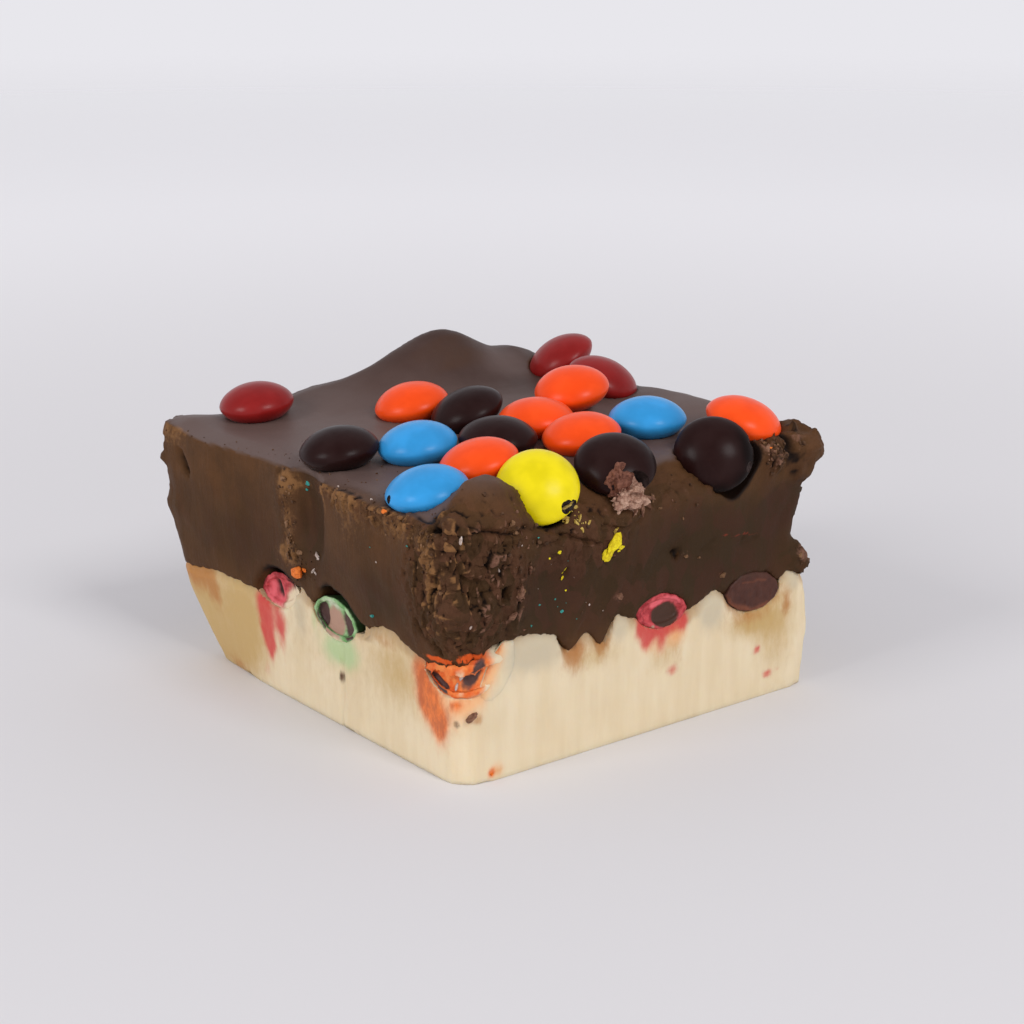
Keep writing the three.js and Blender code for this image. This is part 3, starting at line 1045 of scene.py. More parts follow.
def wander(surface: Surface, above_seam: Array) -> None:
    """Moves the points near the seam up and down, so that its edge runs ragged.

    Args:
        surface: Either layer; the same places move alike in both.
        above_seam: How far each point is above the seam.
    """
    level = surface.points * np.array([1.0, 1.0, 0.0])
    ragged = Lattice(11).fractal(level / 1.1) + 0.5 * Lattice(12).soft(level / 3.1)
    surface.points[:, 2] += SEAM_WANDER * ragged * bell(above_seam, SEAM_BAND)
    lifts = np.sum([lift.values(surface) for lift in SEAM_LIFTS], axis=0)
    surface.points[:, 2] += lifts * bell(above_seam, LIFT_BAND)


# ------------------------------------------------------------------ lentils


@dataclass(frozen=True)
class Lens:
    """The form of a lentil: a flattened round with a tight rim."""

    radius: float = 4.75
    half_thickness: float = 2.6
    roundness: float = 1.2
    waviness: float = 0.05
    segments: int = 48
    rings: int = 26

    def make(self, name: str, seed: int) -> bpy.types.Object:
        """A lens lying level at the origin.

        Args:
            name: The new object's name.
            seed: Which of the many slightly uneven lenses this is.

        Returns:
            The lens.
        """
        bpy.ops.mesh.primitive_uv_sphere_add(
            segments=self.segments, ring_count=self.rings, radius=self.radius * MM
        )
        piece = newest(name)
        surface = Surface(piece)
        rise = surface.points[:, 2] / self.radius
        surface.points[:, 2] = np.sign(rise) * np.abs(rise) ** self.roundness * self.half_thickness
        surface.write()
        surface.push(self.waviness * Lattice(seed).fractal(surface.points / 3.0, 2))
        surface.write()
        return piece

    def distances(self, places: Array) -> tuple[Array, Array]:
        """Distance from the lens's surface, and the direction away from it.

        Args:
            places: Points in the lens's own frame.

        Returns:
            About the distance in millimetres, negative inside, and unit vectors.
        """
        power = 2 / self.roundness
        flat = places * np.array([1.0, 1.0, 0.0]) / self.radius**2
        rise = np.abs(places[:, 2]) / self.half_thickness
        value = np.einsum("ij,ij->i", places, flat) + rise**power - 1
        slope = 2 * flat
        slope[:, 2] = np.sign(places[:, 2]) * power * rise ** (power - 1) / self.half_thickness
        size = np.linalg.norm(slope, axis=1) + 1e-9
        return value / size, slope / size[:, None]


LENS = Lens()


@dataclass(frozen=True)
class Bite:
    """A break in a lentil's shell, placed in the lentil's own frame in millimetres."""

    angle: float
    reach: float
    level: float
    radius: Point


@dataclass
class Lentil:
    """A sugar-shelled lentil pressed into the top.

    Attributes:
        node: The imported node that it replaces, named after its colour.
        lean: Tilt from level in degrees.
        toward: Direction of the tilt in degrees, 0 for +X.
        centre: Its middle, which for a whole lentil is read from the node's box.
        bites: Where its shell is broken.
        gap: Width in millimetres of the gap that is left beside it.
        gap_toward: Direction of that gap.
        dims: Where it lies deep in shadow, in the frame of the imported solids.
    """

    node: str
    lean: float
    toward: float
    centre: Point | None = None
    bites: tuple[Bite, ...] = ()
    gap: float = 0.0
    gap_toward: Point = (1.0, 0.0, 0.0)
    dims: tuple[Zone, ...] = ()

    TOUCH = 0.02

    @property
    def colour(self) -> ShellColour:
        """Its shell's colour."""
        return ShellColour[self.node.split("_")[-2].upper()]

    def placing(self) -> Matrix:
        """Where the lentil lies, in metres."""
        low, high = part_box(self.node)
        middle = Vector(self.centre) * MM if self.centre else (low + high) / 2
        return Matrix.Translation(middle) @ leaning(self.lean, self.toward).to_matrix().to_4x4()

    def place(self, piece: bpy.types.Object) -> None:
        """Moves a piece made in the lentil's own frame to where the lentil lies."""
        piece.matrix_world = self.placing()
        settle(piece)

    def build(self, seed: int, palette: Palette) -> bpy.types.Object:
        """Makes the lentil in place, with its breaks.

        Args:
            seed: Which slightly uneven lens to use.
            palette: Where its materials come from.

        Returns:
            The finished piece.
        """
        piece = LENS.make(f"{self.node}_shell", seed)
        piece.data.materials.append(palette.shells[self.colour])
        for number, bite in enumerate(self.bites):
            # The faces of each break take the shadow material, a painted shadow inside the break.
            cut_with(piece, self.bite_tool(bite, seed + number, palette.fillings["shadow"]))
        self.place(piece)
        if self.dims:
            surface = Surface(piece)
            surface.paint("dim", strongest(self.dims, surface.points))
        shade_smooth(piece, 40)
        dress(piece, self.colour.slot)
        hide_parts(self.node)
        return piece

    def bite_tool(self, bite: Bite, seed: int, filling: bpy.types.Material) -> bpy.types.Object:
        """A rough ball of the given material that cuts out a break and leaves it on the cut faces.
        """
        way = math.radians(bite.angle)
        place = Vector((math.cos(way) * bite.reach, math.sin(way) * bite.reach, bite.level))
        bpy.ops.mesh.primitive_ico_sphere_add(subdivisions=4, radius=MM)
        tool = newest("break")
        surface = Surface(tool)
        surface.points *= np.array(bite.radius)
        chips = Lattice(300 + seed).facets(surface.points / 0.5)
        surface.push(0.16 * chips)
        turn = Matrix.Rotation(way, 3, "Z")
        surface.points = surface.points @ np.array(turn).T + np.array(place)
        surface.write()
        tool.data.materials.append(filling)
        return tool


LENTILS = (
    Lentil("lentil_red_1", 7, -177),
    Lentil("lentil_red_2", 29, 153),
    Lentil("lentil_red_3", 22, -59),
    Lentil("lentil_orange_1", 12, 166),
    Lentil("lentil_orange_2", 15, 154),
    Lentil("lentil_orange_3", 3, 180),
    Lentil("lentil_orange_4", 14, -162),
    Lentil("lentil_orange_5", 8, 163),
    Lentil("lentil_orange_6", 17, -56),
    Lentil("lentil_blue_1", 8, 166),
    Lentil(
        "lentil_blue_2", 11, 169,
        bites=(Bite(168, 4.55, 0.35, (0.42, 0.42, 0.42)),),
    ),
    Lentil("lentil_blue_3", 2, -132),
    Lentil("lentil_brown_1", 8, 168),
    Lentil("lentil_brown_2", 22, 162),
    Lentil("lentil_brown_3", 3, -128),
    Lentil(
        "lentil_brown_4", 30, -124, (-2.31, -26.06, 32.53),
        bites=(Bite(-100, 4.3, 0.5, (1.6, 2, 1.7)),),
        gap=1, gap_toward=(0.8, -0.45, -0.1),
        dims=(
            Zone((2.2, -26.6, 31.6), (2.6, 3.2, 4), 1.2),
            Zone((0.4, -29.4, 29.6), (2.4, 2, 1.8)),
        ),
    ),
    Lentil(
        "lentil_brown_5", 58, -130,
        bites=(Bite(-62, 4.7, 0.6, (0.7, 0.6, 0.7)), Bite(-20, 4.9, 0.4, (0.6, 0.9, 0.8))),
        gap=1.5, gap_toward=(0.85, -0.3, -0.35),
        dims=(
            Zone((15.2, -30, 31.6), (1.6, 3, 3.4), 1.3),
            Zone((14.2, -30.2, 28.4), (1.9, 2.4, 2.2), 1.2),
            Zone((10.6, -29.4, 27.6), (3.2, 2, 1.2)),
        ),
    ),
    Lentil(
        "lentil_yellow_1", 47, -129, (-13.31, -25.56, 31.59),
        bites=(Bite(-80, 4.3, 0.7, (0.7, 0.8, 0.8)), Bite(-70, 4.7, 0.3, (0.6, 0.7, 0.7))),
        gap=0.3, gap_toward=(0.1, -0.6, -0.8),
    ),
)


@dataclass
class CutLentil(Lentil):
    """A lentil that the knife went through, in the seam between the layers.

    Attributes:
        faces: The faces of the square that it is cut by.
        crushed: Height of its roughness in millimetres.
        smears: What shows in it and lies over it, painted shadow and highlights among them.
    """

    faces: tuple[Face, ...] = (LEFT,)
    crushed: float = 0.06
    smears: tuple[tuple[Smear, Form | Zone], ...] = ()

    TOUCH = -0.12
    VOXEL = 0.16
    CHIP = 0.55
    RAGGED = 0.35
    SWELL = 0.35

    def masks(self, surface: Surface) -> dict[Smear, Array]:
        """How strongly each smear covers each point, from 0 to 1, with ragged outlines."""
        ragged = self.RAGGED * drift(surface.points, 0.9, 71)
        masks = {}
        for smear in Smear:
            shapes = [shape for kind, shape in self.smears if kind is smear]
            flat = [shape for shape in shapes if not isinstance(shape, Zone)]
            mask = total_of(flat, surface, ragged)
            for zone in (shape for shape in shapes if isinstance(shape, Zone)):
                mask += zone.values(surface.points + ragged)
            masks[smear] = np.clip(mask, 0, 1)
        return masks

    def build(self, seed: int, palette: Palette) -> bpy.types.Object:
        """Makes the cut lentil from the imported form, with its smears.

        Args:
            seed: Which roughness to use.
            palette: Where its material comes from.

        Returns:
            The finished piece.
        """
        piece = copied_node(self.node, f"{self.node}_shell")
        surface = remeshed(piece, self.VOXEL, 3)
        masks = self.masks(surface)
        sides = 1 - np.max([surface.facing(face, 0.1, 0.5) for face in self.faces], axis=0)
        depth = np.sum([smear.value[1] * mask for smear, mask in masks.items()], axis=0)
        chips = Lattice(400 + seed).facets(surface.points / self.CHIP)
        covered = np.maximum(masks[Smear.CREAM], masks[Smear.CHOCOLATE])
        swell = self.SWELL * sides * covered
        surface.push(self.crushed * chips * (1 - covered) - depth + swell)
        surface.write()
        # Painted shade on the sides, which lie in the gaps.
        surface.paint("sides", sides)
        for smear, mask in masks.items():
            surface.paint(smear.name.lower(), mask)
        shade_smooth(piece, 60)
        dress(piece, self.colour.slot, palette.sugar(self.colour))
        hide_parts(self.node)
        return piece


CUT_LENTILS = (
    CutLentil(
        "cut_lentil_red_1", 8, 90, (-28.91, 7.54, 13.7), crushed=0.12,
        smears=(
            (Smear.VIVID, Spot(LEFT, 9.8, 12.6, 1, 2.6, 0.9)),
            (Smear.VIVID, Spot(LEFT, 7.6, 12, 1, 2.2, 0.8)),
            # Painted shadow in the slit and in the cavities above and beside the lentil.
            (Smear.DARK, Spot(LEFT, 8.3, 13.7, 0.55, 1.3, 1, turn=-32, edge=1.5)),
            (Smear.DARK, Spot(LEFT, 4.8, 16, 1.7, 1.3, 1.2)),
            (Smear.DARK, Spot(LEFT, 11.8, 14.6, 0.8, 1.3, 0.9)),
            (Smear.CREAM, Zone((-27, 3.4, 12.2), (3, 2.9, 2.7), 1.8)),
            (Smear.CREAM, Zone((-27, 9, 10.2), (3, 3.4, 1.3), 1.3)),
        ),
        gap=0.6, gap_toward=(0, -0.5, 0.9),
    ),
    CutLentil(
        "cut_lentil_green_1", 4, -60, (-26.91, -4.66, 13.3),
        smears=(
            (Smear.NOUGAT, Spot(LEFT, -4.1, 12.4, 2, 2.3, 1, edge=3)),
            (Smear.VIVID, Spot(LEFT, -3.6, 14.9, 1.9, 0.8, 0.9)),
            # The two dark crescent gaps, painted with their shade.
            (Smear.PLUM, Spot(LEFT, -1.5, 12.7, 1.1, 2.1, 1.1, turn=8, edge=3)),
            (Smear.PLUM, Spot(LEFT, -7, 12.6, 0.9, 2.3, 1.1, turn=-32, edge=3)),
            (Smear.CREAM, Zone((-27.4, -5.4, 9.4), (3, 3.4, 1.6), 1.5)),
        ),
        gap=1.6, gap_toward=(0, -0.75, 0.85),
    ),
    CutLentil(
        "cut_lentil_orange_1", 30, -150, (-23.51, -25.86, 13.2),
        faces=(LEFT, FRONT), crushed=0.14,
        smears=(
            (Smear.CREAM, Zone((-19.4, -28, 13), (2.9, 4, 6), 2)),
            (Smear.CREAM, Zone((-22.8, -28.4, 8.4), (3, 3, 2.2), 1.7)),
            (Smear.CREAM, Zone((-21.7, -29, 11.6), (1.5, 2, 1.3), 1.6)),
            (Smear.CREAM, Spot(FRONT, -25.9, 12.2, 0.35, 1.4, 0.9)),
            (Smear.VIVID, Spot(FRONT, -25.4, 15, 2.2, 0.9, 1)),
            (Smear.VIVID, Spot(LEFT, -22, 12.8, 1.2, 1.8, 0.8)),
            (Smear.CHOCOLATE, Spot(FRONT, -24, 16, 0.7, 1.6, 1, turn=-36)),
            # The dark gaps of the V, painted with their shade.
            (Smear.PLUM, Spot(LEFT, -24.6, 11.3, 2.3, 0.75, 1.1, turn=19, edge=3)),
            (Smear.PLUM, Spot(FRONT, -24.4, 13, 0.8, 2.1, 1.1, turn=-23, edge=3)),
        ),
    ),
    CutLentil(
        "cut_lentil_red_2", 6, 0, (2.49, -31.36, 14.7),
        faces=(FRONT,), crushed=0.1,
        smears=(
            (Smear.VIVID, Crack(FRONT, ((1.4, 15.6), (3.2, 16.1), (5, 15.4)), 0.45, 1)),
            (Smear.CHOCOLATE, Spot(FRONT, 3.2, 14, 2.1, 1.55, 1.1, turn=-8, edge=4)),
            (Smear.NOUGAT, Spot(FRONT, 1.1, 12.95, 0.3, 0.3, 1.2)),
        ),
    ),
    CutLentil(
        "cut_lentil_brown_1", 5, 0, (17.49, -28.16, 14),
        faces=(FRONT,), crushed=0.05,
        smears=(
            # Painted highlight along the top; the lower line is the lentil's brighter rim colour.
            (Smear.VIVID, Crack(FRONT, ((15.6, 15.5), (17.4, 15.3), (19.4, 15.2)), 0.25, 0.45)),
            (
                Smear.VIVID,
                Crack(FRONT, ((12.8, 14.4), (14.2, 12.7), (17.2, 11.7), (20.4, 12)), 0.5, 0.6),
            ),
            (Smear.CHOCOLATE, Zone((17.5, -31, 18.4), (7, 3, 2.6), 1.3)),
        ),
    ),
)


POCKET_GAP = 0.34
POCKET_REACH = 6.0


def seat_lentils(surface: Surface) -> Array:
    """Draws a layer in to touch the lentils that lie in it, but for the gaps beside some.

    Args:
        surface: The layer, whose pockets are POCKET_GAP wider than the lentils.

    Returns:
        How deep in such a gap each point is, from 0 to 1.
    """
    depth = np.zeros(len(surface.points))
    for lentil in LENTILS + CUT_LENTILS:
        placing = lentil.placing()
        turn = np.array(placing.to_3x3())
        local = (surface.points - np.array(placing.translation) / MM) @ turn
        near = np.flatnonzero(np.linalg.norm(local, axis=1) < LENS.radius + POCKET_REACH)
        distance, away = LENS.distances(local[near])
        drawn = POCKET_GAP - min(lentil.TOUCH, 0)
        closer = distance - drawn * (1 - ramp(distance, POCKET_GAP, 4 * POCKET_GAP))
        touching = np.maximum(closer, lentil.TOUCH)
        wanted = np.where(distance < 1.2 * POCKET_GAP, touching, closer)
        if lentil.gap:
            way = np.array(Vector(lentil.gap_toward).normalized())
            side = ramp(away @ turn.T @ way, 0.35, 0.75)
            fades = POCKET_GAP + 3 * lentil.gap
            wanted += lentil.gap * side * (1 - ramp(distance, POCKET_GAP, fades))
            inside = side * ramp(distance, 2.2 * POCKET_GAP, POCKET_GAP)
            depth[near] = np.maximum(depth[near], inside)
        surface.points[near] += (away * (wanted - distance)[:, None]) @ turn.T
    return depth


# ------------------------------------------------------------------ the two layers


@dataclass
class CreamLayer:
    """The pale layer: knife-cut faces with a smooth base, stains from the lentils and painted shade
    on the left face.
    """

    voxel: float = 0.45
    smoothing: int = 6
    overlap: float = 0.6
    inset: float = 0.3

    STAINS_AND_SHADE = {
        "white": (
            *on(LEFT, Spot, (2.6, 12, 1.6, 3.6, 0.9)),
            *on(
                FRONT, Spot, (-16.6, 14, 5.6, 2.6, 1.1), (10.6, 13, 2.2, 2.6, 1.2),
                (-4, 14.2, 1.5, 2, 0.9), (24, 14.5, 1.8, 2, 0.9),
            ),
        ),
        # Partly painted shade: the wide spots darken the left face.
        "tan": (
            *on(
                LEFT, Spot, (27, 8, 10, 9, 1.1), (14.5, 8, 4, 7, 0.7), (-8, 10, 26, 8, 0.4),
                (-18, 11, 5, 4, 0.4), (20, 1.5, 7, 3.5, 0.45),
            ),
            *on(
                FRONT, Spot, (6, 0.6, 22, 0.8, 0.2), (21.5, 9, 4, 7, 0.7), (16.6, 10.2, 4, 2, 0.8),
                (-7.5, 11.4, 4, 1.6, 0.6), (3, 9.6, 3.4, 3, 0.5),
            ),
            *on(BACK, Spot, (0, 6, 40, 8, 0.3)),
            *on(RIGHT, Spot, (0, 6, 40, 8, 0.3)),
        ),
        "caramel": (
            *on(
                LEFT, Spot, (24.6, 13.4, 4.6, 2.2, 1.2, 0, 1, 1.8),
                (20.8, 10.8, 1.4, 1.8, 0.7, 0, 1, 1.5), (27.5, 14, 2.6, 2.6, 0.8),
                (19, 0.8, 3, 1.2, 0.7), (-16, 13.8, 3.4, 0.9, 0.6), (-22.6, 8, 0.8, 2.4, 0.5),
            ),
            *on(
                FRONT, Spot, (-10.8, 13.2, 1.8, 1.4, 1.1, 0, 1, 2),
                (-6.6, 13.8, 1.3, 1.2, 1.1, 0, 1, 1.8), (23.2, 11.6, 0.9, 2, 0.9),
                (16.9, 11, 4, 1.3, 0.7), (13.4, 13.4, 0.9, 1.6, 0.7, 25),
                (21.4, 13.2, 0.9, 1.6, 0.6, -25), (4.6, 11.2, 1.8, 1.8, 0.5, 0, 1, 1.5),
                (-24.4, 7.8, 0.7, 0.7, 0.7), (-21.8, 1.2, 0.8, 0.6, 0.7),
            ),
        ),
        "red": (
            *on(
                LEFT, Spot, (10.7, 11, 1.5, 2.4, 1.3, 0, 1, 1),
                (10.4, 7.7, 1.2, 1.5, 1.2, 0, 1, 1.2), (9.8, 5.4, 0.9, 1.6, 0.8),
                (7.8, 10.6, 1.6, 2.2, 0.75, 0, 1, 1), (7.2, 8.6, 0.9, 1.6, 0.6, 0, 1, 1.2),
                (11.3, 2.4, 0.8, 1.1, 0.4),
            ),
            *on(
                FRONT, Spot, (2.6, 12.6, 3.2, 1.3, 1.1), (-0.9, 13.8, 0.9, 1.3, 0.9),
                (0.1, 11.6, 1, 1.3, 0.9), (2.6, 10.6, 0.8, 1.4, 0.7), (5.8, 12.9, 0.9, 1.4, 0.8),
                (4.3, 7, 0.8, 0.8, 0.75), (18.4, 6.4, 0.6, 0.6, 1), (20.3, 2.8, 0.8, 0.55, 1),
                (22.2, 3.1, 0.7, 0.35, 0.4), (14, 13, 0.8, 1.2, 0.4, 30),
            ),
        ),
        "peach": (
            *on(LEFT, Spot, (-24.4, 11, 3.6, 3.4, 1, 0, 1, 2)),
            *on(
                FRONT, Spot, (-25.2, 11, 2.4, 2.6, 1), (-22.6, 13.6, 1.3, 4.4, 1, -31),
                (4.8, 11.4, 1.8, 1.8, 0.8), (1.4, 10.8, 2.4, 1.6, 0.5), (-22, 1.2, 1.2, 1, 0.8),
            ),
        ),
        "orange": (
            *on(
                LEFT, Spot, (-22.4, 11.6, 1.7, 3, 1, 0, 1, 1), (-24.2, 8.8, 2, 2.2, 1),
                (-25.4, 6.9, 1.6, 1.7, 1.2, 0, 1, 1),
            ),
            *on(
                FRONT, Spot, (-23, 13.7, 0.7, 4.2, 1.1, -31), (-21.6, 16.4, 0.8, 1, 1),
                (-26.3, 9.3, 0.6, 0.6, 1), (-22.6, 1.1, 0.5, 0.6, 1.1),
            ),
        ),
        "green": on(
            LEFT, Spot, (-5.4, 10.2, 3.4, 1.7, 0.9), (-7.6, 10, 2.4, 1.8, 0.7),
            (-4.6, 8.6, 3.6, 1.8, 0.45), (-0.4, 12.4, 0.7, 1.8, 0.6),
        ),
        "cocoa": (
            *on(
                LEFT, Spot, (-5.7, 6.3, 0.5, 0.8, 0.9), (-5.9, 7.9, 0.3, 0.9, 0.4),
                (-7.2, 0.3, 3.4, 0.25, 0.7), (16, 0.2, 3, 0.25, 0.6),
            ),
            *on(FRONT, Spot, (-26.2, 7.2, 0.3, 0.3, 0.9), (-11.2, 14, 1.5, 1, 0.9)),
        ),
    }
    CREASE = (Crack(LEFT, ((-6.4, 10.0), (-6.1, 6.0), (-5.7, 0.6)), 0.28, 0.35),)
    KNIFE_WAVE = 0.08

    def build(self, material: bpy.types.Material) -> tuple[bpy.types.Object, SeamLine]:
        """Makes the layer.

        Args:
            material: The cream's material.

        Returns:
            The finished piece, and the seam line that the chocolate follows too.
        """
        piece = copied_node("cream_layer", "cream_fudge_layer")
        surface = remeshed(piece, self.voxel, self.smoothing)
        seam = SeamLine(surface)
        refine(piece, (np.abs(seam.above(surface)) < SEAM_BAND) & (surface.outside() > 0))
        surface = Surface(piece)
        above = seam.above(surface)
        wander(surface, above)

        upright = surface.upright()
        streaks = Lattice(21).fractal(surface.points / np.array([2.2, 2.2, 16.0]), 3)
        surface.push(self.KNIFE_WAVE * streaks * upright)
        surface.push(-total_of(self.CREASE, surface))
        tuck = ramp(above, -self.overlap, 0)
        surface.points[:, 2] += self.overlap * tuck
        surface.push(-self.inset * tuck * upright)
        surface.points[:, 2] *= 1 - ramp(surface.points[:, 2], 0.9, 0.0)
        surface.write()
        seat_lentils(surface)
        surface.write()

        self.stain(surface)
        surface.paint("seam", bell(above, 0.9))
        shade_smooth(piece)
        dress(piece, "cream_fudge", material)
        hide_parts("cream_layer")
        return piece, seam

    @classmethod
    def stain(cls, surface: Surface) -> None:
        """Paints every stain on a surface, and the painted shade on the left face, each with a
        ragged outline.
        """
        warp = 0.45 * drift(surface.points, 1.5, 31)
        for name, spots in cls.STAINS_AND_SHADE.items():
            surface.paint(name, total_of(spots, surface, warp))


@dataclass(frozen=True)
class Shove:
    """A soft-edged ellipsoid of food that is moved bodily, in millimetres."""

    centre: Point
    reach: Point
    move: Point

    def moves(self, points: Array) -> Array:
        """How far each point is moved."""
        return Zone(self.centre, self.reach).values(points)[:, None] * np.array(self.move)


@dataclass
class Carving:
    """What was done to each point of the chocolate layer.

    Attributes:
        poured: How much of the poured skin is left.
        rough: How broken it is.
        relief: Height of the broken relief in millimetres.
        hollows: Depth of its pits and cracks in millimetres.
        dents: How deep in a dent it is, from 0 to 1.
        gaps: How deep beside a lentil it is, from 0 to 1.
    """

    poured: Array
    rough: Array
    relief: Array
    hollows: Array
    dents: Array
    gaps: Array | float = 0.0


@dataclass
class ChocolateLayer:
    """The dark layer: poured top, knife-cut faces, and a crumbling front left corner."""

    voxel: float = 0.45
    smoothing: int = 2

    ROUGH = each(
        Zone, ((-26, -28, 25), (9, 7, 11)), ((-20.5, -27, 32), (6, 4, 3), 0.9),
        ((-26, -28, 18), (7, 6, 6), 0.45), ((-27.5, -19, 29.6), (3, 7, 2.2), 0.9),
        ((-27.5, -11, 29.6), (2, 8, 2.4), 0.7), ((-9, -29, 26.5), (8, 3, 5.5), 0.6),
        ((-1, -29, 30), (12, 3, 2.8), 0.6), ((7, -29, 31), (9, 3, 1.8), 0.5),
        ((24.5, -27, 31.5), (5.5, 6, 5), 0.3), ((20, -28.6, 31), (2.6, 3, 2.2)),
        ((26, -29, 17.5), (2.5, 3, 2.6), 0.8), ((19, -28, 32), (3, 3, 1.6), 0.8),
        ((-28, 3.6, 24), (2, 2, 8), 0.24), ((-27.5, 3, 19), (2, 3.6, 3), 0.32),
        ((-4, -29, 20.5), (8, 3, 6), 0.25), ((26, -29, 22), (2, 3, 4), 0.4),
        ((-28, 6, 31), (1.5, 24, 0.8), 0.45), ((-28, 29.5, 29), (3, 2.5, 3.5), 0.4),
        ((29, 0, 23), (3, 40, 9), 0.3), ((0, 30, 23), (40, 3, 9), 0.3),
    )
    FINEST = 12
    TORN = each(
        Zone, ((-20.5, -27.2, 32.5), (6.5, 3, 3)), ((24, -28, 33), (5.5, 2.5, 3), 0.9),
        ((0, -29.5, 32), (14, 1.6, 3), 0.8), ((-28, -14, 31.5), (1.2, 12, 2), 0.7),
    )
    SHOVES = each(
        Shove, ((24.5, -8, 33), (6, 9, 3), (0, 0, 0.95)), ((4, 21.6, 37.5), (9, 7, 5), (0, 0, 1)),
        ((-1.5, 22.4, 35.5), (4.5, 5, 4), (0, 0, 0.55)),
        ((12.5, 19.8, 36.5), (4.5, 5, 4), (0, 0, 0.45)), ((-28, 29.5, 31), (5, 5, 3), (0, 0, 0.7)),
        ((-29.5, 29.8, 25), (3, 3, 6), (-0.3, 0.2, 0)),
        ((-29.8, 30.2, 26.4), (1.6, 1.6, 0.7), (-0.7, 0.5, 0)),
        ((-20.3, -25.4, 32.5), (4.2, 2.8, 3), (0, -0.4, 1.5)),
        ((24.7, -27.9, 33.4), (0.5, 0.6, 1.5), (0.2, 0, 1.1)),
        ((25.8, -28, 33), (1.3, 2, 1.8), (0, 0, -0.9)),
        ((23.4, -27.5, 33), (0.9, 1.2, 1.5), (0, 0, -0.6)),
        ((25.6, -29.5, 29.2), (2.6, 2, 2.4), (0, -0.5, 0)),
    )
    DENTS = (Zone((22.1, -29.6, 31.5), (0.95, 2.0, 1.35)),)
    RIGHT_EDGE = (
        (26.1, 24.9), (27.0, 26.4), (28.6, 26.9), (28.85, 28.3), (29.4, 28.9), (33.1, 27.0),
    )
    HOLLOWS = (
        Spot(LEFT, -1.3, 27.5, 3.1, 7.5, 0.55, turn=-4, edge=4),
        Gouge(
            LEFT, ((26.2, 28.2), (24.9, 28.3), (23.2, 26.2), (23.4, 25), (24.6, 25.4)), 1.4, 0.6
        ),
        Gouge(LEFT, ((4.9, 29.9), (4, 30.1), (3.9, 29.2), (4.7, 29.1)), 0.5),
        Gouge(LEFT, ((2.8, 19.9), (1.8, 20), (1.6, 18.8), (2.5, 18.5)), 0.8),
        Gouge(LEFT, ((-20.8, 29.7), (-21.9, 29.5), (-21.6, 28.7), (-20.9, 28.9)), 0.6),
        Gouge(LEFT, ((-26, 29.9), (-27.6, 29.6), (-27.2, 28.8), (-26.2, 29)), 0.8),
        Gouge(LEFT, ((-26.2, 24.8), (-27.2, 24.6), (-27.3, 23.2), (-26.5, 23.4)), 0.7),
        Gouge(LEFT, ((-22.9, 18.9), (-23.7, 18.2), (-24, 16.6), (-23.1, 17.2)), 0.9, 0.3),
        Crack(LEFT, ((-23.3, 18.2), (-23.9, 16.9), (-25.2, 16), (-26.4, 15.2)), 0.2, 0.6),
        Gouge(LEFT, ((-25.3, 16.5), (-26, 16.9), (-26.6, 15.2), (-26, 15.3)), 0.7, 0.3),
        Gouge(FRONT, ((4, 21.7), (5.9, 21.5), (5, 19.9)), 0.9, 0.3),
        Crack(FRONT, ((8.6, 20.9), (11.2, 22.2), (14, 21.7), (17.6, 20.9)), 0.14, 0.25),
        Spot(FRONT, 9.4, 20.7, 0.9, 0.3, 0.3),
        Spot(FRONT, 15.4, 20.4, 1.4, 0.3, 0.3),
        Crack(FRONT, ((-25.6, 30), (-23.6, 29.3), (-21.2, 28.7), (-18.2, 28.6)), 0.35, 0.7),
        Crack(LEFT, ((-27.4, 29.3), (-25.6, 30), (-23.8, 30.2)), 0.3, 0.5),
        Gouge(FRONT, ((-20.6, 23), (-21.8, 22.7), (-21.9, 21.2), (-20.9, 20.9)), 1, 0.5),
        Gouge(FRONT, ((-11.4, 23), (-12.3, 22.4), (-12.6, 21.5), (-11.8, 21.7)), 0.6, 0.3),
        Crack(FRONT, ((-18, 28.4), (-15.5, 28), (-10.7, 26.1), (-7.8, 25.1)), 0.2, 0.5),
        Crack(FRONT, ((-16.5, 26.4), (-13.8, 26.2), (-12.9, 26.8)), 0.2, 0.5),
        Crack(FRONT, ((-7.5, 27), (-4, 26.2), (-1, 26.6)), 0.16, 0.35),
        Crack(FRONT, ((1, 27.6), (3.4, 28.8), (5.6, 29), (8, 29.9)), 0.2, 0.4),
        Crack(FRONT, ((18.4, 31.6), (19.2, 30.2), (18.8, 28.9)), 0.2, 0.5),
        Spot(FRONT, 26, 17.6, 1.4, 1.2, -0.7),
    )
    SHADE = (
        *on(
            LEFT, Spot, (-1.3, 25.5, 3, 7.5, 0.5, -4, 2), (12, 19, 22, 6, 0.6),
            (-17, 19, 8, 4.5, 0.7),
        ),
        *on(
            FRONT, Spot, (8, 20, 24, 8.5, 1, 0, 2), (22, 24.5, 5, 2.4, 0.8, 20, 2),
            (-22, 18, 7, 5, 0.5), (-16, 22, 6, 9, 0.5),
        ),
    )
